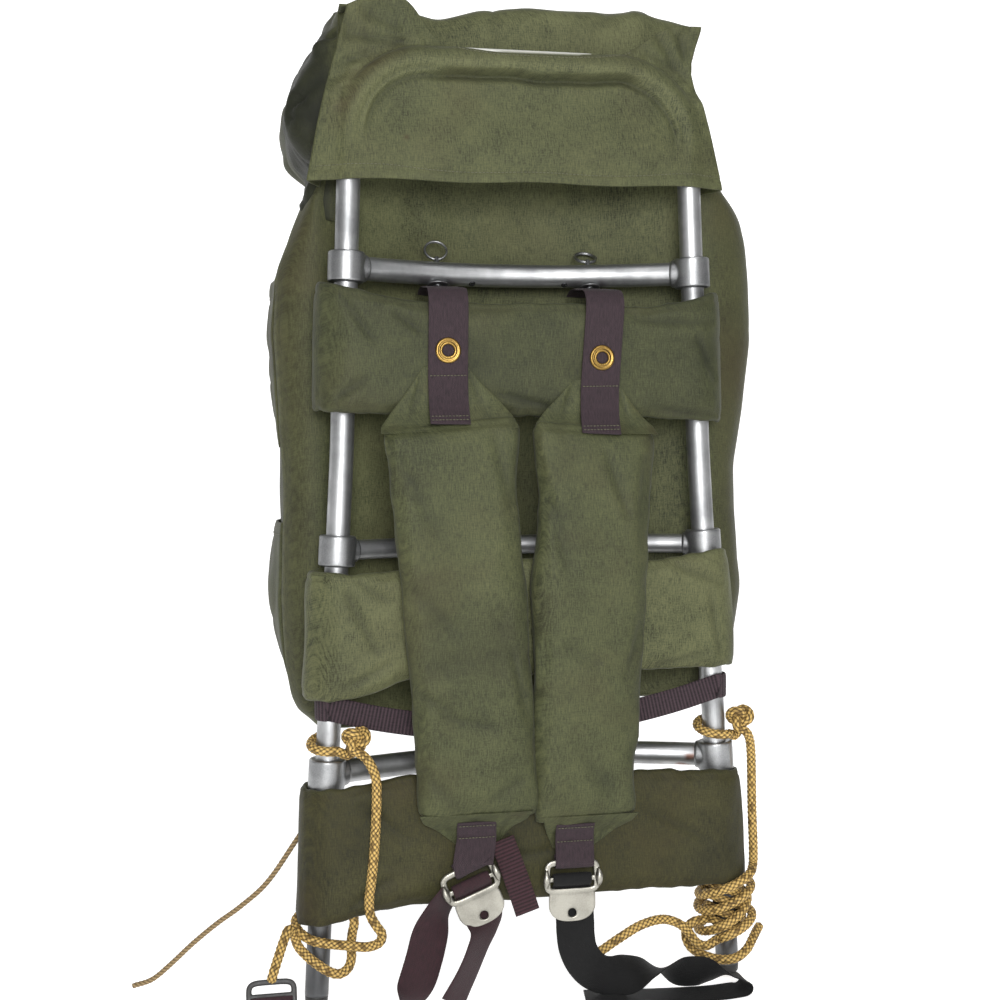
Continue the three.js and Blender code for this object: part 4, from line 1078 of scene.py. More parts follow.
@dataclass
class RopeWork:
    """The plaited ropes tied round both uprights and the thin twisted cord."""

    finishes: Finishes
    diameter: float = 7.8 * MM
    cord_diameter: float = 4.4 * MM
    tows: int = 6
    cell: float = 4.4 * MM
    sides: int = 36
    step: float = 0.75 * MM
    clear: float = 14 * MM
    turns: float = 3.29
    pitch: float = 13.6 * MM
    tilt: float = 9 * MM

    def knot(self, x: float, y: float, z: float) -> Array:
        """An overhand knot: most of a trefoil, sin t + 2 sin 2t across, cos t - 2 cos 2t up, -sin 3t deep.

        Args:
            x: Its middle across the pack, in millimetres.
            y: Its depth.
            z: Its height.

        Returns:
            Points to pass through.
        """
        t = np.linspace(np.pi + 0.45, 3 * np.pi - 0.45, 24)
        across = np.sin(t) + 2 * np.sin(2 * t)
        rise = np.cos(t) - 2 * np.cos(2 * t)
        return MM * np.stack([x + 2.9 * across, y - 3.9 * np.sin(3 * t), z + 3.3 * rise], 1)

    def left_route(self) -> Array:
        """Route of the left rope: a turn and a knot, the run down the hip band and the foot's loops.

        Returns:
            Points to pass through.
        """
        angles = np.array([70, 110, 150, 190, 230, 270, 300])
        heights = MM * np.array([-375, -376.5, -379, -381.5, -383.5, -384.5, -385])
        ring = round_rail(Side.LEFT, angles, heights, np.full(7, self.clear))
        rest = MM * np.array([
            [-136.5, -21, -387], [-130.5, -25.5, -394.5], [-127, -29, -405], [-126.8, -31, -418],
            [-127.5, -31, -436], [-129, -31, -460], [-131.5, -31, -484], [-133.5, -31, -500],
            [-132.5, -30.5, -512], [-128, -29.5, -521], [-123.5, -28, -528.5], [-125.5, -26, -536],
            [-135, -23.5, -539.5], [-149, -20.5, -538.5], [-164, -17.6, -537], [-178, -14.8, -534],
            [-188, -7.5, -528], [-189.5, 4, -523], [-182, 13, -520], [-169, 15.2, -518], [-158, 11, -516.5],
            [-153, 2, -513.5], [-150, -8, -510.5], [-146, -13, -513.5], [-144, -14, -522],
            [-145.5, -11.5, -532], [-146.5, -11, -542], [-146.5, -13.5, -551], [-149.5, -16, -558],
            [-156, -17.5, -561.5], [-164, -17.5, -559.5], [-174, -16, -553], [-182.5, -13.5, -546],
            [-188.5, -13, -538.5], [-192, -14.5, -528.5], [-196, -19, -523], [-200, -25, -529],
            [-204, -31, -538], [-208, -37, -547.5], [-211, -41.5, -556],
        ])
        return np.vstack([ring, MM * np.array([[-147.5, -9.5, -388.5]]), self.knot(-141, -15, -376), rest])

    def right_route(self) -> Array:
        """Route of the right rope: a turn and a knot, the run outside the band, the loose wraps and the tail.

        Returns:
            Points to pass through.
        """
        angles = np.array([50, 90, 130, 170, 210, 250, 290, 325])
        heights = MM * np.array([-374, -375.5, -377.5, -380, -382.5, -384.5, -385.5, -386])
        ring = round_rail(Side.RIGHT, angles, heights, np.full(8, self.clear))
        lead = MM * np.array([[178.5, -5.5, -388.5]])
        run = MM * np.array([
            [186.5, -12, -384.5], [190.5, -9.5, -391.5], [192.6, -7, -402], [193.4, -6, -415],
            [194, -5.5, -450], [195, -5.5, -480], [194.5, -7, -494],
        ])
        turn = np.linspace(0, self.turns, 56)
        angle = -25 - 360 * turn
        height = -509 * MM - self.pitch * turn + self.tilt * np.cos(np.radians(angle))
        height = height + 2.4 * MM * np.sin(4.1 * turn + 1)
        radius = 21.8 * MM + 4 * MM * bell(3 * turn, 1) + 2 * MM * np.sin(8.6 * turn)
        wraps = round_rail(Side.RIGHT, angle, height, radius)
        tail = MM * np.array([
            [149, -18.5, -561], [140.5, -18.5, -558], [134, -17.5, -549.5], [125.5, -16.5, -541.5],
            [111, -16.5, -536.8], [92, -19, -539.5], [73, -21.5, -548], [54, -22, -559], [36, -20.5, -568],
        ])
        return np.vstack([ring, lead, self.knot(182, -9, -373), run, wraps, tail])

    def stub_route(self) -> Array:
        """Route of the rope's other end: inner wraps that slope the other way, a loop and a short end.

        Returns:
            Points to pass through.
        """
        turn = np.linspace(0, 3.75, 60)
        angle = 100 - 360 * turn
        height = -511 * MM - 10.6 * MM * turn - 7 * MM * np.cos(np.radians(angle))
        wraps = round_rail(Side.RIGHT, angle, height, self.clear + 0.4 * MM * np.sin(3.1 * turn))
        end = MM * np.array([
            [150, -5, -543.5], [141, -6.5, -544.5], [134.8, -8, -550], [134.5, -9, -558],
            [139.5, -10, -566], [149, -14, -571], [161, -20.5, -573], [173, -23, -571.5],
            [184, -19, -566.5], [193, -10, -560.5], [199.5, -2, -557], [204.5, 4, -555],
        ])
        return np.vstack([wraps, end])

    def plait(self, path: Array) -> Surface:
        """A plaited rope: two sets of spiral tows cross, and in each cell of the crossing one lies on top.

        The radius is the core plus an arch across the tow on top, highest in the middle of its cell.

        Args:
            path: Points of the route.

        Returns:
            The closed rope with its values "crown" and "fleck".
        """
        line = smooth_path(path, self.step)
        reach = reach_along(line)
        angle = np.linspace(0, 1, self.sides, endpoint=False)
        first = self.tows * angle[None] + reach[:, None] / self.cell
        second = self.tows * angle[None] - reach[:, None] / self.cell
        over = (np.floor(first) + np.floor(second)) % 2 < 0.5
        across = np.where(over, first, second) % 1
        along = np.where(over, second, first) % 1
        crown = np.sin(np.pi * across) ** 0.7 * (0.5 + 0.5 * np.sin(np.pi * along))
        end = np.minimum(reach, reach[-1] - reach)
        blunt_end = 0.55 + 0.45 * ease(end, 0, 1.6 * MM)
        radius = 0.5 * self.diameter * (0.83 + 0.2 * crown) * blunt_end[:, None]
        ring = np.stack([np.cos(2 * np.pi * angle), np.sin(2 * np.pi * angle)], -1)
        surface = sweep(line, radius[..., None] * ring[None], np.array([0.3, 0.2, 0.9]))
        number = np.stack([np.floor(first).ravel(), np.floor(second).ravel(), over.ravel() * 7], 1) + 0.01
        fleck = ease(noise(number, 1, 5), 0.55, 0.75) * 0.75
        surface.values["crown"] = np.append(crown.ravel(), [0.5, 0.5])
        surface.values["fleck"] = np.append(fleck, [0, 0])
        return surface

    def twist(self, path: Array) -> Surface:
        """A twisted cord: three strands make the radius rise and fall as they wind along it.

        Args:
            path: Points of the route.

        Returns:
            The closed cord with its values "crown" and "fleck".
        """
        line = smooth_path(path, 0.9 * MM)
        reach = reach_along(line)
        angle = full_turn(18)
        crown = np.abs(np.cos(1.5 * (angle[None] + 2 * np.pi * reach[:, None] / (11 * MM))))
        radius = 0.5 * self.cord_diameter * (0.8 + 0.2 * crown)
        ring = np.stack([np.cos(angle), np.sin(angle)], -1)
        surface = sweep(line, radius[..., None] * ring[None], np.array([0.3, 0.2, 0.9]))
        surface.values["crown"] = np.append(crown.ravel(), [0.5, 0.5])
        surface.values["fleck"] = np.zeros(len(surface.points))
        return surface

    def lay(self, name: str, route: Array, thin: bool, far_end: str, lay: str, *nodes: str) -> None:
        """Makes one cord along its route.

        Args:
            name: Name of the piece.
            route: Points that it passes through.
            thin: Whether it is the twisted cord and not plaited rope.
            far_end: What its far end is; not used.
            lay: How it lies; not used.
            nodes: CAD nodes that it stands for.
        """
        surface = self.twist(route) if thin else self.plait(route)
        piece = make_piece(name, surface, self.finishes.cord if thin else self.finishes.rope, *nodes)
        path = smooth_path(route, 2 * MM)

    def build(self) -> None:
        """Builds both ropes, the short end and the thin cord."""
        self.lay("rope_left", self.left_route(), False, "object", "hanging",
                 "rope_knot_left", "rope_run_left", "rope_foot_left", "rope_lash_left")
        self.lay("rope_right", self.right_route(), False, "object", "hanging",
                 "rope_knot_right", "rope_run_right", "rope_wraps_right", "rope_tail_right")
        self.lay("rope_end_right", self.stub_route(), False, "bare", "loose")
        thin = MM * np.array([
            [-142, 15.5, -378], [-150, 21.5, -404], [-166, 24, -432], [-188, 22, -464], [-211, 22, -496],
            [-232, 28, -516], [-252, 36, -532], [-272, 44, -550], [-289, 50, -567], [-305, 55, -581],
            [-321, 60, -587.2],
        ])
        self.lay("thin_twisted_cord", thin, True, "bare", "loose", "thin_cord")


# Frame


@dataclass
class TubeFrame:
    """The drawn tube hoop with its foot caps, three bowed crossbars and six cast couplings."""

    finishes: Finishes
    top: float = HOOP_TOP * MM
    corner: float = HOOP_CORNER * MM
    corner_half: float = HOOP_HALF * MM
    foot: float = -583 * MM
    coupling_height: float = 25 * MM
    stub: float = 15.9 * MM
    thin_radius: float = 7.95 * MM

    def hoop_path(self) -> Array:
        """The hoop's middle line: up the right upright, round two corners and down the left one.

        Returns:
            Points at even distances.
        """
        right = upright_line(Side.RIGHT, np.linspace(self.foot, self.top - self.corner, 40))
        turn = np.linspace(0, 0.5 * np.pi, 18)[1:]
        x = self.corner_half - self.corner + self.corner * np.cos(turn)
        arc = np.stack([x, 0 * turn, self.top - self.corner * (1 - np.sin(turn))], 1)
        half = np.vstack([right, arc])
        return even_path(np.vstack([half, half[::-1] * (-1, 1, 1)]), 3 * MM)

    def coupling(self, side: Side, height: float, radius: float) -> Surface:
        """A coupling as two overlapping round sleeves: one on the upright, a short one towards the crossbar.

        Args:
            side: Which upright.
            height: Height of the crossbar.
            radius: Radius of the crossbar.

        Returns:
            The two sleeves with rounded lips.
        """
        half = 0.5 * self.coupling_height
        rise = np.array([-1, -0.985, -0.95, -0.88, 0, 0.88, 0.95, 0.985, 1]) * half
        swell = np.array([9.8, 13.2, 14.3, 14.7, 14.8, 14.7, 14.3, 13.2, 9.8]) * MM
        sleeve = sweep(upright_line(side, height + rise), circle(swell, 44), AWAY)
        reach = np.array([0, 0.5, 0.9, 0.96, 1]) * self.stub
        lip = radius + np.array([1.9, 1.9, 1.8, 1.4, 0.3]) * MM
        path = bar_line(rail_half(height) - reach, height) * (side.value, 1, 1)
        return join([sleeve, sweep(path, circle(lip, 44), UP)])

    def hole(self, x: float) -> Surface:
        """A spare hole low on the upper bar's front: a shallow dish with a rolled lip, painted dark for the
        shade inside a hole.

        Args:
            x: Place across the pack.

        Returns:
            The dish with its values.
        """
        way = np.array([0, -0.55, -0.835])
        profile = [[0.05, 0.1], [1.7, 0.1], [2.1, 0.5], [2.6, 0.4], [2.9, -0.3], [2.6, -1], [0.05, -1]]
        dish = lathe(MM * np.array(profile), bar_line(x, 0) + way * TUBE_RADIUS, way, 24)
        dish.values["rust"] = np.zeros(len(dish.points))
        # Painted shade: the whole dish is dark, standing in for the hole's shadowed inside.
        dish.values["painted_shade"] = np.ones(len(dish.points))
        return dish

    def build(self) -> None:
        """Builds the hoop, caps, bars and couplings."""
        hoop = self.hoop_path()
        tube = sweep(hoop, circle(np.full(len(hoop), TUBE_RADIUS), 48), AWAY)
        # Painted shade: the hoop darkens towards its feet.
        tube.values["painted_shade"] = 0.85 * ease(-tube.points[:, 2], 490 * MM, 540 * MM)
        make_piece("tube_hoop", tube, self.finishes.tube, "frame_hoop")
        drop = np.array([1.5, 0, -2, -5, -6.6, -7.3, -7.6]) * MM
        girth = np.array([8.6, 9.3, 9.3, 9, 8.4, 7.6, 6.6]) * MM
        for side in Side:
            cap = sweep(upright_line(side, self.foot + drop), circle(girth, 40), AWAY)
            make_piece(f"tube_cap_{side.word}", cap, self.finishes.plastic, f"foot_cap_{side.word}")
        rows = (("upper", 0, TUBE_RADIUS), ("middle", -226, self.thin_radius), ("lower", -405, TUBE_RADIUS))
        for word, level, radius in rows:
            height = level * MM
            half = rail_half(height) - 7 * MM
            path = bar_line(np.linspace(-half, half, 90), height)
            bar = sweep(path, circle(np.full(len(path), radius), 48), UP)
            spots = ease(noise(bar.points, 7 * MM, 3), 0.25, 0.6)
            near = bell(bar.points[:, 0] - 140 * MM, 16 * MM)
            bar.values["rust"] = spots * near * (0.8 if word == "lower" else 0)
            bar.values["painted_shade"] = np.zeros(len(bar.points))
            if word == "upper":
                bar = join([bar] + [self.hole(x * MM) for x in (-37, 41.7)])
            make_piece(f"tube_bar_{word}", bar, self.finishes.tube, f"crossbar_{word}")
            for side in Side:
                node = f"coupling_{word}_{side.word}"
                coupling = self.coupling(side, height, radius)
                fuse(make_piece(f"cast_{node}", coupling, self.finishes.cast, node), 0.7 * MM, 2)


# Padded bands and shoulder straps


@dataclass
class BackBands:
    """Three padded bands that cross the frame and wrap round both uprights."""

    finishes: Finishes
    inside: float = 14.8 * MM
    wrap: float = 6.5 * MM
    swelling: Swelling = Swelling(cap=2.5 * MM)

    def form(self, top: float, bottom: float, front: float, loose: float) -> Surface:
        """A blunt section as tall as the band, carried along a plan line round the uprights and between them.

        Args:
            top: Height of the top edge.
            bottom: Height of the bottom edge.
            front: Thickness between the uprights.
            loose: How far the left end stands off its upright.

        Returns:
            The closed form.
        """
        count = 44
        turn = np.linspace(np.radians(82), np.radians(270), count)
        angle = full_turn(56)
        middle = 0.5 * (top + bottom)
        height = middle + 0.5 * (top - bottom) * blunt(np.cos(angle), 0.27)
        half = rail_half(height)
        radius = self.inside + 0.5 * self.wrap
        front_radius = self.inside + 0.5 * front
        share = ease(turn, np.pi, np.radians(270))
        girth = radius + (front_radius - radius) * share
        ends = []
        for side, slack in ((-1, loose), (1, 0)):
            off_x = -np.abs(girth * np.cos(turn)) * np.sign(-np.cos(turn)) - slack * (1 - share)
            x = side * (half[None] - off_x[:, None])
            y = np.repeat((girth * np.sin(turn))[:, None], len(angle), 1)
            nx = side * -np.cos(turn)
            ends.append((x, y, nx, np.sin(turn), self.wrap + (front - self.wrap) * share))
        across = np.linspace(-1, 1, 62)[1:-1]
        flat_x = across[:, None] * half[None]
        flat_y = np.full(flat_x.shape, -front_radius)
        left, right = ends
        x = np.concatenate([left[0], flat_x, right[0][::-1]])
        y = np.concatenate([left[1], flat_y, right[1][::-1]])
        nx = np.concatenate([left[2], np.zeros(60), right[2][::-1]])
        ny = np.concatenate([left[3], -np.ones(60), right[3][::-1]])
        thick = np.concatenate([left[4], np.full(60, front), right[4][::-1]])
        out = 0.5 * thick[:, None] * blunt(np.sin(angle), 0.6)[None]
        grid = np.stack([x + nx[:, None] * out, y + ny[:, None] * out, np.broadcast_to(height, x.shape)], -1)
        return capped(grid)

    def crumple(self, piece: Piece, top: float, bottom: float, seed: int, sways: Array, folds: Array) -> None:
        """Presses seams and folds into a band: puckers and a swaying line at its edges, dents and creases.

        Args:
            piece: The band.
            top: Height of its top edge.
            bottom: Height of its bottom edge.
            seed: Number that picks its folds.
            sways: How far the top and the bottom edge rise at each place of SWAY_X, in millimetres.
            folds: Creases by the X and Z of their two ends, in millimetres.
        """
        points = read_points(piece)
        normals = read_normals(piece)
        edge = np.minimum(top - points[:, 2], points[:, 2] - bottom)
        pucker = noise(points * (1, 1, 0.35), 9 * MM, seed) * bell(edge - 5 * MM, 8 * MM)
        slow = noise(points, 48 * MM, seed + 1)
        seam = bell(edge - 8 * MM, 1.5 * MM)
        patch = ease(noise(points, 70 * MM, seed + 4), -0.2, 0.5)
        lines = wrinkles(points * (0.8, 1, 1.2), 42 * MM, seed + 3) * patch
        height = MM * (1.2 * pucker + 1.5 * slow - 0.9 * seam * (0.6 + 0.4 * slow) - lines)
        sway = noise(points * (1, 1, 0), 34 * MM, seed + 5)
        moved = points + normals * height[:, None]
        moved[:, 2] += 1.7 * MM * sway * bell(edge, 14 * MM)
        upper = ease(points[:, 2], bottom, top)
        rise = [soft_read(points[:, 0] / MM, SWAY_X, row, 9) for row in sways]
        moved[:, 2] += MM * (rise[0] * upper + rise[1] * (1 - upper))
        flat = points * (1, 0, 1)
        folds = MM * np.array(folds)
        marks = sum(crease(flat, (x0, 0, z0), (x1, 0, z1), 3.6 * MM) for x0, z0, x1, z1 in folds)
        moved += normals * (-2.2 * MM * marks * (points[:, 1] < -8 * MM))[:, None]
        write_points(piece, moved)
        # Painted shade: the whole upper band, wrinkle lines, pressed creases and the rounded edges are
        # darkened.
        shade = 0.24 if top > -0.1 else 0
        set_value(piece, "dark", shade + 0.22 * lines + 0.3 * marks + 0.3 * bell(edge, 3.5 * MM))
        dirt = ease(noise(points, 38 * MM, seed + 2), 0, 1)
        low = bell(points[:, 2] - bottom, 20 * MM)
        ends = ease(np.abs(points[:, 0]), 90 * MM, 165 * MM)
        worn = 0.45 * ends * dirt if top < -0.4 else 0.1 * dirt
        # Browner near the hip band's ends, towards each band's bottom edge and along its seam line.
        set_value(piece, "soil", worn + 0.15 * low * (0.5 + 0.5 * slow) + 0.12 * seam)
        # The middle band is paler all over, and every band is paler at its rubbed edges.
        paler_band = 0.4 if -0.3 < top < -0.1 else 0
        set_value(piece, "wear_and_highlight", paler_band + 0.3 * bell(edge, 3 * MM) + 0.12 * np.clip(slow, 0, 1))

    def build(self) -> None:
        """Builds, swells and creases the three bands."""
        rows = (
            ("back_band_upper", -21, -124, 11, 4, self.finishes.olive,
             [[9, 3, -4, -6, -5, -7, -2, 8], [7, 5, 3, 0, 0, 1, -1, -2]],
             [[-152, -30, -122, -66], [-156, -112, -128, -92], [84, -34, 156, -46], [98, -112, 160, -118],
              [138, -52, 158, -92], [-110, -36, -84, -52], [-30, -100, 20, -114]]),
            ("back_band_middle", -231, -333, 11, 4, self.finishes.olive,
             [[-9, -8, -4, 0, 0, -4, 1, 5], [-13, -9, 3, 2, 2, 2.5, 2.5, 2.5]],
             [[-150, -245, -122, -302], [-158, -324, -112, -308], [118, -240, 162, -262],
              [150, -262, 160, -322], [104, -326, 150, -316], [-140, -238, -112, -262]]),
            ("hip_band", -411, -513, 11.5, 1, self.finishes.hip,
             [[-1, 7, 10, 6, 3, 4, 3, 0], [-13, -3, 0, 0, 0, 0, 0, 0]],
             [[-142, -428, -100, -462], [-62, -482, 20, -470], [88, -440, 152, -472],
              [-150, -500, -112, -484]]),
        )
        for seed, (node, top, bottom, front, loose, finish, sways, folds) in enumerate(rows):
            form = self.form(top * MM, bottom * MM, front * MM, loose * MM)
            piece = make_piece(f"padded_{node}", form, finish, node)
            self.swelling.run(piece)
            self.crumple(piece, top * MM, bottom * MM, 10 * seed + 1, sways, folds)


@dataclass
class ShoulderPads:
    """Two boxy padded shoulder straps with pointed cloth flaps at both ends."""

    finishes: Finishes
    back: float = -27 * MM
    swelling: Swelling = Swelling(cap=3 * MM)

    def rows(self, side: Side) -> Array:
        """A pad's sections from its bottom up.

        Args:
            side: Which pad.

        Returns:
            Height, left edge, right edge and thickness of each, in metres.
        """
        if side is Side.LEFT:
            table = [
                [-441, -93, 0.6, 20], [-426, -97, 4.6, 21], [-390, -100.5, 4.6, 22], [-323, -106, 0.6, 23],
                [-260, -111, -4, 23], [-217, -114.5, -9.5, 23], [-172, -119, -12.5, 21],
                [-142, -122.5, -11.5, 20], [-128, -122.5, -13, 19],
            ]
        else:
            table = [
                [-447, -0.6, 80, 20], [-432, -3, 84, 21], [-390, -5, 86.5, 22], [-323, -6, 90, 23],
                [-260, -5, 94, 23], [-217, -2, 97, 23], [-172, -1.6, 99.5, 21], [-142, -1, 102, 20],
                [-128, 0, 101, 19],
            ]
        return MM * np.array(table)

    def folds(self, side: Side) -> list[list[float]]:
        """A pad's soft creases.

        Args:
            side: Which pad.

        Returns:
            X and Z of their two ends and their width, in millimetres.
        """
        if side is Side.LEFT:
            return [[-112, -148, -76, -216, 6], [-34, -138, -20, -192, 5], [-104, -250, -60, -292, 7],
                    [-22, -298, -8, -360, 4], [-96, -394, -60, -430, 6], [-42, -424, -10, -404, 5],
                    [-100, -334, -68, -350, 3.5], [-80, -352, -30, -366, 4]]
        return [[56, -148, 76, -204, 4], [86, -286, 70, -332, 3.5], [8, -180, 26, -244, 6],
                [30, -378, 66, -430, 7], [80, -378, 88, -430, 4], [20, -300, 50, -318, 5],
                [90, -150, 84, -230, 5]]

    def lean(self, side: Side, share: Array, height: Array) -> Array:
        """How far a pad's upper end rises towards its inner edge: a share of it, fading out down the pad."""
        inner, rise = (share, 13) if side is Side.LEFT else (1 - share, 8)
        return rise * MM * inner * ease(height, -175 * MM, -122 * MM)

    def form(self, side: Side) -> Surface:
        """A pad's body: blunt oval sections that follow the table, rounded off at both ends.

        Args:
            side: Which pad.

        Returns:
            The closed form.
        """
        table = self.rows(side)
        low, high = table[0, 0], table[-1, 0]
        share = 0.5 - 0.5 * np.cos(np.linspace(0.02, np.pi - 0.02, 110))
        height = low + (high - low) * share
        left = soft_read(height, table[:, 0], table[:, 1], 6 * MM)
        right = soft_read(height, table[:, 0], table[:, 2], 6 * MM)
        thick = soft_read(height, table[:, 0], table[:, 3], 6 * MM)
        end = np.minimum(height - low, high - height)
        round_off = np.sqrt(1 - (1 - np.clip(end / (10 * MM), 0, 1)) ** 2)
        half = 0.5 * (right - left) * (0.95 + 0.05 * round_off)
        deep = 0.5 * thick * np.maximum(round_off, 0.18)
        angle = full_turn(64)
        x = 0.5 * (left + right)[:, None] + half[:, None] * blunt(np.cos(angle), 0.34)[None]
        y = self.back - 0.5 * thick[:, None] + deep[:, None] * blunt(np.sin(angle), 0.62)[None]
        return capped(np.stack([x, y, np.broadcast_to(height[:, None], x.shape)], -1))

    def flap(self, name: str, rows: Array) -> Surface:
        """A pointed flap: thin blunt sections from a tab's width to the pad's width, bowed over its end.

        Args:
            name: Which end of which pad it covers.
            rows: Height, left edge, right edge, thickness and front, from one end to the other.

        Returns:
            The closed flap.
        """
        share = np.linspace(0, 1, 36)
        place = np.linspace(0, 1, len(rows))
        columns = [soft_read(share, place, column, 0.04)[:, None] for column in rows.T]
        height, left, right, thick, front = columns
        angle = full_turn(60)
        x = 0.5 * (left + right) + 0.5 * (right - left) * blunt(np.cos(angle), 0.4)
        y = front + 0.5 * thick * (1 + blunt(np.sin(angle), 0.6))
        surface = capped(np.stack([x, y, np.broadcast_to(height, x.shape)], -1))
        points = surface.points
        points[:, 1] += 0.8 * MM * noise(points * (1, 1, 0.5), 11 * MM, 21)
        wide = rows[np.argmax(rows[:, 2] - rows[:, 1])]
        narrow = rows[np.argmin(rows[:, 2] - rows[:, 1])]
        marks = np.zeros(len(points))
        for column, turn in ((1, 0.2), (2, 0.2), (1, 0.55), (2, 0.55)):
            end = wide[column] * (1 - turn) + wide[3 - column] * turn
            marks += crease(points * (1, 0, 1), (narrow[column], 0, narrow[0]), (end, 0, wide[0]), 2.2 * MM)
        points[:, 1] += 1.3 * MM * marks
        # Painted shade along the flap's creases.
        surface.values["dark"] = np.clip(0.3 * marks, 0, 0.6)
        if name.startswith("upper"):
            side = Side.LEFT if name.endswith("left") else Side.RIGHT
            inner = np.clip((points[:, 0] - wide[1]) / (wide[2] - wide[1]), 0, 1)
            points[:, 2] += self.lean(side, inner, points[:, 2] - 20 * MM)
        surface.values["soil"] = 0.3 * ease(noise(points, 14 * MM, 8), 0, 0.9)
        return surface

    def crumple(self, piece: Piece, side: Side) -> None:
        """Creases a pad: a fold line near its ends, slow dents and puckers along its long edges.

        Args:
            piece: The pad.
            side: Which pad it is.
        """
        points = read_points(piece)
        normals = read_normals(piece)
        table = self.rows(side)
        left = np.interp(points[:, 2], table[:, 0], table[:, 1])
        right = np.interp(points[:, 2], table[:, 0], table[:, 2])
        edge = np.minimum(points[:, 0] - left, right - points[:, 0])
        slow = noise(points * (1, 1, 0.6), 38 * MM, 31 + side.value)
        fine = noise(points * (1, 1, 0.5), 9 * MM, 41 + side.value)
        patch = ease(noise(points, 60 * MM, 47 + side.value), -0.2, 0.5)
        lines = wrinkles(points * (0.9, 1, 0.8), 46 * MM, 45 + side.value) * patch
        height = MM * (2 * slow + 1.2 * fine * bell(edge - 5 * MM, 5 * MM) - 1.5 * lines)
        flat = points * (1, 0, 1)
        folds = MM * np.array(self.folds(side))
        marks = sum(crease(flat, (x0, 0, z0), (x1, 0, z1), width) for x0, z0, x1, z1, width in folds)
        height = height - 1.9 * MM * marks
        for level in (table[-1, 0] - 7 * MM, table[0, 0] + 7 * MM):
            height = height - 1.4 * MM * crease(flat, (left.min(), 0, level), (right.max(), 0, level), 2 * MM)
        moved = points + normals * height[:, None]
        inner = np.clip((points[:, 0] - left) / (right - left), 0, 1)
        moved[:, 2] += self.lean(side, inner, points[:, 2])
        write_points(piece, moved)
        # Painted shade: a darker strip along each pad's right edge, and darkening in wrinkle lines, creases
        # and rounded edges.
        turned = 0.26 * bell(right - points[:, 0], 9 * MM)
        set_value(piece, "dark", 0.2 * lines + 0.28 * marks + turned + 0.28 * bell(edge, 3.5 * MM))
        dirt = ease(noise(points, 24 * MM, 51 + side.value), 0.2, 0.95)
        # Dirt in patches, and browner in wrinkle lines as painted crease shade.
        set_value(piece, "soil", 0.12 * dirt + 0.1 * lines)
        set_value(piece, "wear_and_highlight", 0.3 * bell(edge, 3 * MM) + 0.12 * np.clip(slow, 0, 1))

    def build(self) -> None:
        """Builds, swells and creases both pads and lays their flaps."""
        flaps = {
            "upper_left": [[-84, -86, -55, 2.4, -30], [-104, -101, -40, 2.8, -31],
                           [-118, -113, -25, 3.2, -33], [-128, -121, -15, 4, -38], [-134, -122, -13, 4, -45]],
            "lower_left": [[-432, -95, -4, 4, -47.5], [-440, -91, -8, 4, -42], [-447, -80, -18, 3.6, -34.5],
                           [-460, -64, -30, 2.6, -31.5]],
            "upper_right": [[-94, 37, 71, 2.4, -30], [-110, 22, 82, 2.8, -31], [-121, 10, 91, 3.2, -33],
                            [-129, 2, 99, 4, -38], [-135, 0, 101, 4, -45]],
            "lower_right": [[-438, 4, 83, 4, -47.5], [-446, 6, 78, 4, -42], [-454, 9, 66, 3.6, -34.5],
                            [-468, 15, 48, 2.6, -31.5]],
        }
        for side in Side:
            form = self.form(side)
            node = f"shoulder_pad_{side.word}"
            piece = make_piece(f"padded_strap_{side.word}", form, self.finishes.olive, node)
            self.swelling.run(piece)
            self.crumple(piece, side)
        for name, rows in flaps.items():
            piece = make_piece(f"pad_flap_{name}", self.flap(name, MM * np.array(rows)), self.finishes.olive)


# Webbing and hardware


@dataclass
class BuckleSeat:
    """Where a buckle sits and how it is turned in the plane of the straps."""

    side: Side
    x: float
    y: float
    z: float
    turn: float
    tab_x: float
    tab_top: float
    flap_end: float

    def matrix(self) -> Array:
        """Turns across, out and up of a buckle into the pack's directions."""
        cos, sin = math.cos(self.turn), math.sin(self.turn)
        return np.array([[cos, 0, -sin], [0, -1, 0], [sin, 0, cos]])

    def at(self, across: float, out: float, up: float) -> list[float]:
        """A place on the buckle as a point of the pack and the direction of a strap's width, in metres."""
        place = self.matrix() @ (MM * np.array([across, out, up])) + MM * np.array([self.x, self.y, self.z])
        return place.tolist() + self.matrix()[:, 0].tolist()


SEATS = (
    BuckleSeat(Side.LEFT, -53, -38, -490.5, 0.38, -48.5, -440, -459),
    BuckleSeat(Side.RIGHT, 29, -38, -491.5, 0, 31.5, -446, -467),
)


def strap_rows(rows: list[list[float]]) -> Array:
    """Turns rows of a place in millimetres and a width direction into metres."""
    return np.array(rows) * (MM, MM, MM, 1, 1, 1)


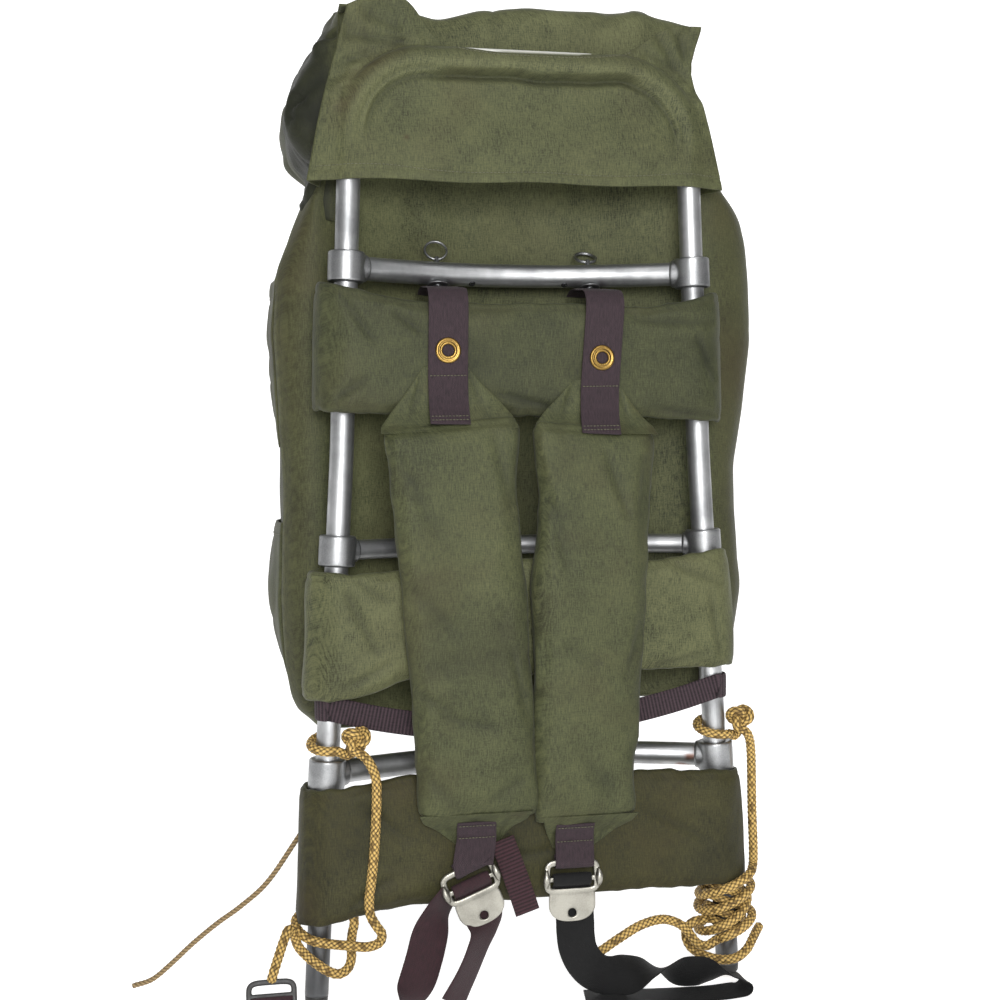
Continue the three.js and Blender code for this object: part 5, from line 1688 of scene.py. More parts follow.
@dataclass
class Webbing:
    """All the flat straps: tabs, adjusters, the anchor, the spare tail and the ribbed frame strap."""

    finishes: Finishes
    width: float = 31.75 * MM
    thick: float = 1.6 * MM
    ribbed_width: float = 20 * MM
    ribbed_thick: float = 1.9 * MM
    rib: float = 2.9 * MM
    seam_half: float = 13.5

    def strap(self, name: str, places: Array, finish: Finish, node: str) -> None:
        """Makes one plain strap through its places."""
        make_piece(name, ribbon(places, self.width, self.thick, 1.6 * MM), finish, node)

    def ribbed(self, name: str, rows: list, finish: Finish, node: str) -> None:
        """Makes one narrow ribbed strap through its places."""
        surface = ribbon(strap_rows(rows), self.ribbed_width, self.ribbed_thick, 0.7 * MM, self.rib)
        make_piece(name, surface, finish, node)

    def seams(self, name: str, rows: list[tuple[float, float, float, float]]) -> None:
        """Sews rows of thread across a tab, each at an X, Y and Z in millimetres and with its rise.

        Args:
            name: Name of the piece.
            rows: Place of each row's middle across, its front, its height and how far it climbs.
        """
        half = self.seam_half
        lines = [MM * np.array([[x - half, y, z], [x + half, y, z + rise]]) for x, y, z, rise in rows]
        threads = [stitches(line, TOWARDS, 2.6 * MM, 2 * MM, 0.7 * MM) for line in lines]
        make_piece(name, join(threads), self.finishes.strap_thread)

    def upper_tab(self, side: Side, bar_x: float, end_x: float, end_z: float) -> None:
        """A tab from under the upper crossbar, over the band's edge and down to its pad.

        Args:
            side: Which tab.
            bar_x: Where it meets the bar.
            end_x: Where it ends across the pack.
            end_z: Where it ends in height.
        """
        depth = (37, 26.3, 13, 0, -16, -24.5, -29.9)
        level = (-16.6, -13.4, -13.2, -15.2, -17.2, -19.8, -27.5)
        head = [[bar_x, y, z, 1, 0, 0] for y, z in zip(depth, level)]
        run = []
        for share in (0.08, 0.3, 0.5, 0.65, 0.77, 0.85, 0.92, 1):
            z = -30 + (end_z + 30) * share
            y = float(np.interp(z - end_z, TAB_ABOVE, TAB_FRONT))
            run.append([bar_x + (end_x - bar_x) * share, y, z, 1, 0, 0])
        node = f"strap_tab_upper_{side.word}"
        self.strap(f"tab_upper_{side.word}", strap_rows(head + run), self.finishes.purple, node)
        rows = []
        for up in (3, 6, 38):
            x = end_x + (bar_x - end_x) * up / (-30 - end_z)
            rows.append((x, float(np.interp(up, TAB_ABOVE, TAB_FRONT)) - 1, end_z + up, 0.4))
        self.seams(f"tab_stitches_{side.word}", rows)

    def lower_straps(self, seat: BuckleSeat) -> None:
        """The tab from a pad to its buckle and the strap that loops through the buckle to the foot.

        Args:
            seat: The buckle.
        """
        over = 2.8
        side = seat.side
        fall = seat.flap_end - seat.tab_top
        tab = [[seat.tab_x * MM, (-34.5 + drop) * MM, (seat.tab_top + fall * share) * MM, 1, 0, 0]
               for share, drop in ((0, -7), (0.35, -3.2), (0.8, -2.4))]
        aside = 7 if side is Side.LEFT else 2
        tab += [seat.at(aside, out, up) for out, up in (
            (over, 15), (2, 11), (0, 9.8), (-2, 11), (-over, 14), (-over - 0.6, 20))]
        node = f"strap_tab_lower_{side.word}"
        self.strap(f"tab_lower_{side.word}", np.array(tab), self.finishes.purple, node)
        top, low = seat.tab_top - 3, 0.3 * seat.tab_top + 0.7 * seat.flap_end
        rows = [(seat.tab_x, -41.6, top, 0), (seat.tab_x, -38.1, low, 0)]
        self.seams(f"lower_tab_stitches_{side.word}", rows)
        loop = [seat.at(0, out, up) for out, up in (
            (-over - 2.4, -1), (-over, 2.8), (-1.4, 4.2), (1.4, 4.2), (over, 0.4), (1.4, -3.6), (-1.4, -4.9),
            (-4, -13))]
        if side is Side.LEFT:
            loop.append(seat.at(0, -4.4, -26))
            end = strap_rows([
                [-43, -34.5, -529, 0.8, 0.55, 0.25], [-48.5, -37, -543, 0.72, 0.68, 0.1],
                [-57, -40.5, -560, 0.72, 0.68, 0], [-70, -45.3, -581.5, 0.8, 0.6, 0],
            ])
            self.strap("adjuster_left", np.vstack([loop, end]), self.finishes.maroon, "adjuster_strap_left")
            return
        end = strap_rows([
            [31, -32.8, -509, 0.96, -0.28, 0], [32.5, -32.4, -526, 0.9, -0.43, 0],
            [33, -32.2, -538, 0.9, -0.43, 0.02], [35, -32.2, -550.5, 0.84, -0.35, 0.38],
            [40.5, -32.6, -561.5, 0.68, -0.2, 0.7], [49, -33, -570, 0.38, -0.1, 0.92],
            [61, -33.5, -574, 0.1, 0.05, 0.99], [75, -33.5, -574, 0, 0.5, 0.86],
            [88, -33.5, -571.5, 0, 0.9, 0.42], [97, -34, -571, 0, 1, 0],
            [106, -34.5, -571.5, 0, 0.9, -0.42], [120, -36, -574, 0, 0.45, -0.9],
            [138, -36.5, -575.3, 0, 0.42, -0.9], [150, -37.5, -577.5, 0, 0.75, -0.66],
            [160, -39, -578.5, 0, 0.95, -0.3], [168, -41, -579.5, 0, 1, -0.1],
            [172.5, -42, -582.5, 0, 1, 0], [173, -43, -586, 0, 1, 0], [170, -44, -588.8, 0, 1, 0],
            [162, -45, -589.7, 0, 1, 0], [140, -47, -589.7, 0, 1, 0], [100, -44, -589.7, -0.1, 1, 0],
            [65, -39, -589.7, -0.15, 1, 0], [40, -35, -589.7, -0.15, 1, 0],
        ])
        self.strap("adjuster_right", np.vstack([loop, end]), self.finishes.black, "adjuster_strap_right")

    def frame_strap(self) -> None:
        """The ribbed strap: hooked round both uprights, it sags between them as a parabola."""
        out = TUBE_RADIUS / MM + 1.9
        ends = []
        for side, z in ((-1, -351), (1, -345)):
            x = side * rail_half(z * MM) / MM
            turn = np.radians(np.linspace(95, 270, 10))
            arc = [[x - side * math.cos(a) * out, out * math.sin(a), z, 0, 0, 1] for a in turn]
            ends.append([[x - side * 7, out + 0.4, z, 0, 0, 1]] + arc)
        left, right = ends
        rows = left
        start, stop = left[-1][0], right[-1][0]
        for share in np.linspace(0, 1, 12)[1:-1]:
            z = -351 + 6 * share - 24 * 4 * share * (1 - share)
            rows.append([start + (stop - start) * share, -out, z, 0, 0, 1])
        self.ribbed("ribbed_frame_strap", rows + right[::-1], self.finishes.purple, "frame_strap")

    def build(self) -> None:
        """Builds every strap."""
        self.upper_tab(Side.LEFT, -66.3, -68, -126)
        self.upper_tab(Side.RIGHT, 61, 53, -134)
        for seat in SEATS:
            self.lower_straps(seat)
        anchor = strap_rows([
            [-210.5, -49.2, -564, 1, 0, 0], [-210.5, -48, -569, 1, 0, 0], [-210.5, -46.5, -576, 1, 0, 0],
            [-208, -47, -580.5, 0.9, 0.4, 0.1], [-198, -48, -586, 0.5, 0.85, 0],
            [-180, -48.5, -589.3, 0.1, 1, 0], [-160, -48.5, -589.3, 0, 1, 0],
            [-132, -49, -587.2, 0.2, 1, 0.05], [-110, -48, -579, 0.75, 0.7, 0.1],
            [-99, -45.5, -564, 0.95, 0.25, -0.2], [-92, -42.5, -546, 0.95, 0.2, -0.2],
            [-86.5, -39, -528, 0.93, 0.25, -0.25], [-80, -35.5, -512, 0.7, 0.6, -0.35],
            [-70, -31.5, -499, 0.55, 0.72, -0.4],
        ])
        self.strap("anchor_left", anchor, self.finishes.maroon, "anchor_strap_left")
        tail = [
            [-27.5, -35, -457, 0.93, 0, 0.36], [-24, -36, -467, 0.95, 0, 0.32],
            [-18, -37.5, -484, 0.95, 0, 0.32], [-12, -38, -502, 0.95, 0, 0.32],
            [-7.5, -37.5, -516, 0.95, 0, 0.3],
        ]
        self.ribbed("ribbed_tail_left", tail, self.finishes.maroon, "strap_tail_left")
        self.frame_strap()


@dataclass
class Hardware:
    """Grommets, hitch pins with their washers and split rings, buckles and the foot slide."""

    finishes: Finishes
    buckle_half: float = 20.4 * MM
    buckle_top: float = 14 * MM
    buckle_low: float = -9.4 * MM

    def grommet(self, side: Side, x: float, z: float) -> None:
        """A brass eyelet: an inner and an outer roll round its hole.

        Args:
            side: Which tab it sits in.
            x: Place across the pack.
            z: Height.
        """
        profile = MM * np.array([
            [4.6, -2.2], [4.6, 0.9], [4.9, 1.6], [5.6, 2], [6.4, 1.8], [6.9, 1.2], [7.4, 1], [8, 1.3],
            [8.7, 1.5], [9.5, 1.3], [10.1, 0.7], [10.3, 0], [9.6, -0.1], [6, -0.1], [5.7, -2.2],
        ])
        eyelet = lathe(profile, MM * np.array([x, -32.1, z]), TOWARDS, 56)
        make_piece(f"brass_grommet_{side.word}", eyelet, self.finishes.brass, f"grommet_{side.word}")

    def hitch(self, side: Side, x: float, tilt: float) -> None:
        """A pin through the upper crossbar with its washer below and its split ring above.

        Args:
            side: Which tab it holds.
            x: Place across the pack.
            tilt: How far the ring leans.
        """
        steel = self.finishes.cast
        middle = bar_line(x * MM, 0)
        way = np.array([0, math.cos(1.3), math.sin(1.3)])
        reach = MM * np.array([-12, -11.6, -11, -10, 14, 14.6, 15])
        girth = MM * np.array([1.2, 3, 3.4, 2.2, 2.2, 1.8, 0.8])
        pin = sweep(middle + reach[:, None] * way, circle(girth, 20), ACROSS)
        make_piece(f"steel_pin_{side.word}", pin, steel, f"hitch_pin_{side.word}")
        disc = MM * np.array([[2.6, -0.6], [2.6, 0.6], [8.4, 0.6], [9, 0.2], [9, -0.2], [8.4, -0.6]])
        washer = lathe(disc, middle - way * (TUBE_RADIUS + 0.9 * MM), way, 40)
        make_piece(f"steel_washer_{side.word}", washer, steel, f"hitch_washer_{side.word}")
        turn = np.linspace(0, 4 * np.pi, 120)[:, None]
        radius = 9.2 * MM
        lean = np.array([0, math.sin(tilt), math.cos(tilt)])
        axis = np.cross(ACROSS, lean)
        drift = (turn / (4 * np.pi) - 0.5) * 1.7 * MM
        centre = middle + way * 12.6 * MM + lean * radius * 0.97
        path = centre + radius * (np.cos(turn) * ACROSS + np.sin(turn) * lean) + drift * axis
        ring = sweep(path, circle(np.full(120, 0.85 * MM), 12), axis)
        make_piece(f"steel_ring_{side.word}", ring, steel, f"split_ring_{side.word}")

    def buckle(self, seat: BuckleSeat) -> None:
        """A cast buckle: a rounded frame with a middle bar and side lugs, above a bare plate with a hole.

        The plate is a grid from the hole's edge to a blunt oval outline, on its front and back.

        Args:
            seat: Where the buckle sits.
        """
        angle = full_turn(120)
        cos, sin = np.cos(angle), np.sin(angle)
        tall = 0.5 * (self.buckle_top - self.buckle_low)
        centre = 0.5 * (self.buckle_top + self.buckle_low)
        loop = np.stack([self.buckle_half * blunt(cos, 0.32), 0 * angle, centre + tall * blunt(sin, 0.32)], 1)
        loop = even_path(np.vstack([loop, loop[:1]]), 1.2 * MM)[:-1]
        bar = MM * np.array([[-20, 0, 0.4], [-7, 0, 0.4], [7, 0, 0.4], [20, 0, 0.4]])
        parts = [rim(loop, AWAY, pill(5 * MM, 3.4 * MM, 0.75))]
        parts.append(sweep(bar, pill(3.8 * MM, 2.4 * MM, 0.6), AWAY))
        wide = np.where(sin > 0, blunt(cos, 0.3), blunt(cos, 0.8))
        rise = np.where(sin > 0, 11.5 * blunt(sin, 0.4), 14.5 * blunt(sin, 0.85))
        outline = MM * np.stack([19.4 * wide, 0 * angle, rise - 19.5], 1)
        hole = MM * np.stack([3.3 * cos, 0 * angle, 3.3 * sin - 27], 1)
        share = np.array([0, 0.04, 0.12, 0.4, 0.75, 0.9, 0.97, 1])
        lift = MM * np.array([0, 0.8, 1.1, 1, 1, 1.2, 0.8, 0])
        share = np.concatenate([share, share[-2:0:-1]])[:, None, None]
        lift = np.concatenate([lift, -lift[-2:0:-1]])[:, None, None]
        parts.append(grid_surface(hole + share * (outline - hole) + lift * AWAY, ring=True, loop=True))
        for way in (-1, 1):
            lug = MM * np.array([[21.6, 2.2, 8.5], [21.8, 3.4, 4], [21.8, 3.4, -1], [21.4, 2.2, -5.5]])
            path = smooth_path(lug * (way, 1, 1), MM)
            size = np.sin(np.linspace(0.35, np.pi - 0.35, len(path)))[:, None, None]
            parts.append(sweep(path, size * pill(5.4 * MM, 7 * MM, 0.8), AWAY))
        body = join(parts).turned(seat.matrix(), MM * np.array([seat.x, seat.y, seat.z]))
        word = seat.side.word
        fuse(make_piece(f"cast_buckle_{word}", body, self.finishes.plated, f"buckle_{word}"), 0.5 * MM, 3)

    def slide(self) -> None:
        """The dark slide that hangs on the rope: a blunt loop with one bar across its middle."""
        angle = full_turn(96)[:, None]
        centre = MM * np.array([-210.5, -44.5, -565])
        down = np.array([0, -0.36, -0.933])
        face = np.cross(ACROSS, down)
        wide, tall = 17.2 * MM * blunt(np.cos(angle), 0.4), 10.4 * MM * blunt(np.sin(angle), 0.4)
        loop = centre + wide * ACROSS + tall * down
        bar = centre + MM * np.array([[-16], [0], [16]]) * ACROSS
        parts = [rim(loop, face, pill(4.4 * MM, 3.4 * MM, 0.6))]
        parts.append(sweep(bar, pill(4.6 * MM, 3.2 * MM, 0.6), face))
        fuse(make_piece("foot_slide", join(parts), self.finishes.plastic, "strap_slide"), 0.5 * MM, 3)

    def build(self) -> None:
        """Builds all the hardware."""
        self.grommet(Side.LEFT, -67.2, -68)
        self.grommet(Side.RIGHT, 57.6, -73)
        self.hitch(Side.LEFT, -66.3, 0.5)
        self.hitch(Side.RIGHT, 63, 1)
        for seat in SEATS:
            self.buckle(seat)
        self.slide()


# Bag


def grid_normals(grid: Array) -> Array:
    """Directions square to a grid of points: the cross product of its steps down and across."""
    return unit(np.cross(np.gradient(grid, axis=1), np.gradient(grid, axis=0)))


@dataclass
class PackBag:
    """The bag behind the frame: its body, four pockets, the sleeve over the hoop and the slack lid."""

    finishes: Finishes
    thick: float = 1.4 * MM
    panel_edge: float = 165
    panel_y: float = 22
    corner_y: float = 48
    panel_columns: int = 61
    side_columns: int = 84
    walls: Array = field(init=False)
    sleeve_edge: Array = field(init=False)

    def rows(self) -> Array:
        """Height, left half width, right half width and front of the bag from the bottom up, in mm."""
        return np.array([
            [-372, 166, 160, 186], [-366, 180, 172, 207], [-352, 188, 184, 221], [-325, 193, 194, 228],
            [-265, 197, 202, 233], [-200, 194, 196, 233], [-160, 194, 195, 230], [-110, 196, 204, 228],
            [-50, 200, 211, 224], [0, 198, 210, 221], [32, 185, 207, 218], [50, 177, 203, 216],
            [64, 171, 195, 214], [80, 166, 182, 212], [110, 164, 164, 210], [150, 160, 152, 205],
        ], dtype=float)

    def rings(self, height: Array) -> tuple[Array, Array]:
        """Plan rings of the bag, one for each height: a bowed back panel, round corners and a blunt oval.

        Args:
            height: Heights in millimetres.

        Returns:
            The X and Y of the rings, rows by columns.
        """
        table = self.rows()
        left, right, front = (soft_read(height, table[:, 0], table[:, k], 7)[:, None] for k in (1, 2, 3))
        edge_left = np.minimum(self.panel_edge, left - 9)
        edge_right = np.minimum(self.panel_edge, right - 9)
        across = np.linspace(-1, 1, self.panel_columns)[None]
        back_x = np.where(across < 0, edge_left, edge_right) * across
        back_y = np.broadcast_to(self.panel_y + 38 * (1 - across**2), back_x.shape)
        turn = np.linspace(0, 0.5 * np.pi, 10)[None, 1:-1]
        bend = self.panel_y + (self.corner_y - self.panel_y) * (1 - np.cos(turn)) + 0 * left
        share = np.sin(np.linspace(0, 0.5 * np.pi, self.side_columns))[None] ** 0.85
        oval = (1 - np.minimum(share, 1) ** 3.33) ** 0.25
        side_y = self.corner_y + (front - self.corner_y) * share
        right_x = np.hstack([edge_right + (right - edge_right) * np.sin(turn), right * oval])
        left_x = -np.hstack([edge_left + (left - edge_left) * np.sin(turn), left * oval])
        flank_y = np.hstack([bend, side_y])
        x = np.hstack([back_x, right_x, left_x[:, -2::-1]])
        y = np.hstack([back_y, flank_y, flank_y[:, -2::-1]])
        for _ in range(3):
            x = 0.25 * (np.roll(x, 1, 1) + np.roll(x, -1, 1)) + 0.5 * x
            y = 0.25 * (np.roll(y, 1, 1) + np.roll(y, -1, 1)) + 0.5 * y
        return x, y

    def body(self) -> None:
        """The bag's wall: plan rings stacked down to a closed bottom, with folds and seams pressed in."""
        height = np.concatenate([np.linspace(150, -345, 150), np.linspace(-348, -372, 12)])
        x, y = self.rings(height)
        grid = np.stack([x, y, np.broadcast_to(height[:, None], x.shape)], -1)
        middle = np.array([0, 120, 0])
        bottom = np.stack([middle + (grid[-1] - middle) * share for share in (0.97, 0.9, 0.75, 0.5, 0.25)])
        bottom[..., 2] = np.array([-373.6, -375, -376, -376.5, -376.8])[:, None]
        grid = np.concatenate([grid, bottom])
        grid[..., 2] += 16 * ease(grid[..., 0], -40, 150) * ease(-grid[..., 2], 270, 372)
        points = grid.reshape(-1, 3)
        outward = unit((points - middle) * (1, 1, 0))
        rear = ease(points[:, 1], 34, 75)
        slow = noise(points * (1, 1, 1.5), 75, 61)
        fold = noise(points * (1, 1, 0.4), 24, 62)
        lines = wrinkles(points * (1, 1, 0.5), 52, 64)
        seam = bell(points[:, 1] - 44, 2.6) * (np.abs(points[:, 0]) > 150)
        lift = (2.6 * slow + 1.8 * fold - 3 * lines) * (0.12 + 0.88 * rear) + 1.6 * seam
        lift = lift * ease(points[:, 2], -376, -345)
        points = points + outward * lift[:, None]
        self.walls = points.reshape(grid.shape)
        surface = grid_surface(MM * self.walls, ring=True)
        count, columns = len(points), grid.shape[1]
        last = np.arange(count - columns, count)
        surface.faces.append(np.stack([last, np.roll(last, -1), np.full(columns, count)], 1))
        surface.corner_uv.append(np.zeros((columns, 3, 2)))
        surface.points = MM * np.vstack([points, [[0, 120, -376.9]]])
        # Brown dirt in patches; the share in wrinkle lines on the rear is painted crease shade, and the sides
        # near the back are browner.
        soil = 0.3 * ease(noise(points, 70, 63), 0, 1) + 0.08 * lines * rear
        side = ease(np.abs(points[:, 0]), 158, 180) * ease(-points[:, 1], -90, -60)
        panel = ease(-np.abs(points[:, 0]), -158, -146) * ease(-points[:, 1], -80, -66)
        # Paler at the seam and bottom edge from wear, and painted paler over the recessed back panel behind
        # the frame: painted light.
        wear_and_highlight = 0.35 * seam + 0.2 * bell(points[:, 2] + 366, 8) + 0.35 * panel
        surface.values["soil"] = np.append(np.clip(soil + 0.2 * side, 0, 1), 0)
        surface.values["wear_and_highlight"] = np.append(wear_and_highlight, 0)
        # Painted shade in the wrinkle lines on the rear.
        surface.values["dark"] = np.append(0.16 * lines * rear, 0)
        piece = make_piece("bag_body", surface, self.finishes.olive, "packbag_body")
        wall(piece, self.thick)

    def pocket(self, name: str, side: Side, top: float, bottom: float, bulge: float) -> None:
        """A side pocket: part of the bag's wall lifted by a bulge that is fullest below its mouth.

        Its bottom and side edges lie on the wall, and its mouth stands a little off it.

        Args:
            name: Name of the CAD node.
            side: Which side of the bag.
            top: Height of the mouth in millimetres.
            bottom: Height of the bottom seam.
            bulge: How far it stands out.
        """
        heights = self.walls[:, 0, 2]
        rows = np.flatnonzero((heights <= top) & (heights >= bottom))
        middle = self.walls[rows[len(rows) // 2]]
        columns = np.flatnonzero(
            (middle[:, 0] * side.value > 100) & (middle[:, 1] > 50) & (middle[:, 1] < 176)
        )
        block = self.walls[np.ix_(rows, columns)]
        normals = grid_normals(block)
        normals = normals * np.sign(np.mean(normals[..., 0]) * side.value)
        share = np.linspace(0, 1, len(rows))[:, None]
        across = (block[..., 1] - block[..., 1].min()) / np.ptp(block[..., 1])
        fall = np.maximum(0, 1 - ((share - 0.45) / np.where(share < 0.45, 0.47, 0.55)) ** 2) ** 0.8
        arch = np.sin(np.pi * np.clip(across, 0, 1)) ** 0.6
        crumple = noise(block.reshape(-1, 3), 26, 71 + int(abs(top))).reshape(across.shape)
        lines = wrinkles(block.reshape(-1, 3), 34, 75 + int(abs(top))).reshape(across.shape)
        hem = bell(share - 0.1, 0.02)
        mouth = 1.6 * bell(share, 0.1)
        lift = arch * (bulge * fall * (1 + 0.16 * crumple) + mouth - 0.7 * hem - 1.6 * lines * fall) + 0.7
        grid = block + normals * lift[..., None]
        surface = grid_surface(MM * grid)
        soil = ease(noise(surface.points, 45 * MM, 73), 0, 1)
        # Dirt in patches, and darker and browner in wrinkle lines: painted crease shade.
        surface.values["soil"] = 0.25 * soil + 0.2 * lines.ravel()
        surface.values["dark"] = 0.45 * (lines * fall).ravel()
        edge = np.minimum(across, 1 - across)
        surface.values["wear_and_highlight"] = (0.3 * bell(share, 0.03) + 0.2 * bell(edge, 0.04)).ravel()
        piece = make_piece(f"cloth_{name}", surface, self.finishes.olive, name)
        wall(piece, self.thick)
        row = int(0.1 * len(rows))
        line = MM * (grid + 0.2 * normals)[row, 1:-1]
        if side is Side.LEFT:
            line = line[::-1]
        seam = stitches(line, np.array([side.value, 0, 0]), 3 * MM, 2.3 * MM, 0.6 * MM)
        make_piece(f"stitches_{name}", seam, self.finishes.cloth_thread)

    def hoop_distance(self, x: Array, z: Array) -> Array:
        """Distance from the hoop's middle line: that of a rectangle with round corners.

        Args:
            x: Places across the pack in millimetres.
            z: Heights in millimetres.

        Returns:
            The distance, below zero inside the hoop.
        """
        straight = HOOP_TOP - HOOP_CORNER
        beyond_x = np.abs(x) - (HOOP_HALF - HOOP_CORNER) - np.maximum(0, straight - z) * 0.027
        beyond_z = z - straight
        outside = np.hypot(np.maximum(beyond_x, 0), np.maximum(beyond_z, 0))
        return outside + np.minimum(np.maximum(beyond_x, beyond_z), 0) - HOOP_CORNER

    def ear_edge(self, x: Array) -> Array:
        """Height of the sleeve's top edge: two raised ears and a low middle.

        Args:
            x: Places across the pack in millimetres.

        Returns:
            The heights in millimetres.
        """
        places = [-150, -140, -120, -102, -88, -74, -50, -20, 36, 70, 90, 104, 116, 130, 150]
        heights = [206, 214, 218, 215, 203, 185, 176, 172.4, 172.4, 174.6, 179, 188, 200, 204, 204]
        return soft_read(x, np.array(places, float), np.array(heights, float), 7)

    def sleeve(self) -> None:
        """The sleeve over the hoop: cloth drawn over the tube's ridge, hollow below it and taut at the hem.

        Its front is the larger, softly joined, of the tube's round height and a panel that comes forward
        towards the hem. Above the tube it falls back to a puckered seam, and its sides turn back to the bag.
        """
        left_z = np.array([60, 116, 145, 165, 197, 218])
        left_half = np.array([176, 165, 158, 152, 144, 138])
        right_z = np.array([70, 107, 132, 153, 169, 186, 201])
        right_half = np.array([169, 160, 153.5, 146.5, 143, 147.5, 153])
        turn = np.linspace(0, 1, 22)[:-1]
        flank = 1 - 0.07 * turn**2
        across = np.concatenate([-flank[::-1], np.linspace(-0.99, 0.99, 220), flank])
        rise = np.concatenate([np.linspace(0, 0.86, 90), np.linspace(0.87, 1, 22)])
        share, level = np.meshgrid(across, rise)
        hem = 68.4 + 0.6 * share + 0.9 * np.sin(9 * share + 1)
        top = self.ear_edge(150 * share)
        z = hem + (top - hem) * level
        half = np.where(share < 0, soft_read(z, left_z, left_half, 7), soft_read(z, right_z, right_half, 5))
        x = share * half
        apart = self.hoop_distance(x, z)
        ridge = np.sqrt(np.maximum(0, 11.4**2 - apart**2))
        inner_panel = 7.4 + 4.6 * ease(-z, -140, -88)
        upper = ease(z, 135, 168)
        outer_panel = (1 - upper) * (10.6 - 0.2 * apart) - upper * (0.45 * np.maximum(apart - 6, 0) + 2)
        panel = np.where(apart < 0, inner_panel, outer_panel)
        front = 0.5 * (ridge + panel + np.sqrt((ridge - panel) ** 2 + 3))
        straight = ease(z, 136, 148) * ease(x, -84, -56) * ease(-x, -108, -82)
        sag = 12.8 + 1.1 * np.sin(x / 17) + 0.6 * np.sin(x / 7.3)
        groove = bell(apart + sag, 3.6) * straight
        lip = bell(apart + sag - 5.5, 2.4) * straight
        welt = bell(apart + 10, 1.6) * (1 - straight) * ease(z, 96, 122)
        dip = bell(apart + 14, 2.4) * (1 - straight) * ease(z, 96, 122)
        front = front - 5.5 * groove + 1.4 * lip + 1.7 * welt - 1.4 * dip
        tube = np.where(np.abs(apart) < 9.9, 1.4 + np.sqrt(np.maximum(0, 9.9**2 - apart**2)), -50)
        y = -np.maximum(front, tube)
        back = np.zeros_like(x)
        back[:, :21] = turn[::-1]
        back[:, -21:] = turn
        y = y + (np.maximum(24 - y, 6) * back**1.4)
        points = np.stack([x, y, z], -1).reshape(-1, 3)
        seam = bell(apart.ravel() - 15, 4.5) * ease(points[:, 2], 110, 140)
        pucker = noise(points, 7, 81)
        slow = noise(points * (1, 1, 0.7), 36, 82)
        fold = bell(level.ravel() * (top - hem).ravel() - 8.5, 1.6)
        inner = ease(-apart.ravel(), 10, 40)
        ear = ease(points[:, 2], 170, 184)
        lines = wrinkles(points * (1, 1, 0.7), 19, 85)
        points[:, 1] -= 2 * seam * pucker + slow * (0.3 + 0.7 * inner) - 0.7 * fold
        points[:, 1] += ear * (lines - 1.6 * noise(points, 24, 86))
        folds = np.zeros(len(points))
        for start, end, width, deep in (
            ((-144, 0, 186), (-84, 0, 178), 4.5, 2.6), ((-132, 0, 206), (-96, 0, 190), 5, 2.2),
            ((-152, 0, 160), (-112, 0, 172), 4, 2), ((112, 0, 200), (140, 0, 158), 5, 3.2),
            ((100, 0, 182), (132, 0, 168), 4, 2.2), ((134, 0, 198), (140, 0, 172), 4, 2.6),
        ):
            mark = crease(points * (1, 0, 1), start, end, width)
            points[:, 1] += deep * mark
            folds = folds + mark
        grid = points.reshape(x.shape + (3,))
        self.sleeve_edge = grid[-1, 21:-21]
        surface = grid_surface(MM * grid)
        stain = bell(apart.ravel() - 9, 10) * ease(-points[:, 0], 70, 125)
        stain = stain * ease(points[:, 2], 92, 130) * (0.65 + 0.35 * noise(points, 9, 83))
        spot = bell(np.hypot(points[:, 0] + 96, points[:, 2] - 102), 2.2)
        shade = 0.15 * ease(noise(points, 46, 84), 0, 1)
        surface.values["soil"] = np.clip(0.8 * stain + spot + shade, 0, 1)
        # Painted shade: the groove below the bar, the dip beside the welt, the ear wrinkles, puckered seams
        # and folds are darkened.
        hollow = (0.4 * groove + 0.25 * dip).ravel() + 0.2 * ear * lines
        hollow = hollow + 0.35 * seam * np.clip(-pucker, 0, 1)
        surface.values["dark"] = np.clip(hollow + 0.28 * folds, 0, 0.8)
        # Painted highlight along the tube's ridge and on the welt; the sleeve is also paler overall and at
        # its seam.
        lightened = bell(apart.ravel() + 3, 4) * ease(points[:, 2], 96, 130)
        surface.values["wear_and_highlight"] = 0.14 + 0.3 * lightened + 0.2 * seam + 0.3 * welt.ravel()
        piece = make_piece("hoop_sleeve", surface, self.finishes.olive, "top_sleeve")
        wall(piece, self.thick)
        row = int(np.argmin(np.abs((level * (top - hem))[:, 120] - 8.5)))
        hem_line = MM * (grid[row, 24:-24] - np.array([0, 0.1, 0]))
        top_line = MM * (grid[-4, 92:200] - np.array([0, 0.1, 0]))
        rows = [stitches(line, TOWARDS, 3.1 * MM, 2.4 * MM, 0.65 * MM) for line in (hem_line, top_line)]
        make_piece("sleeve_stitches", join(rows), self.finishes.cloth_thread)

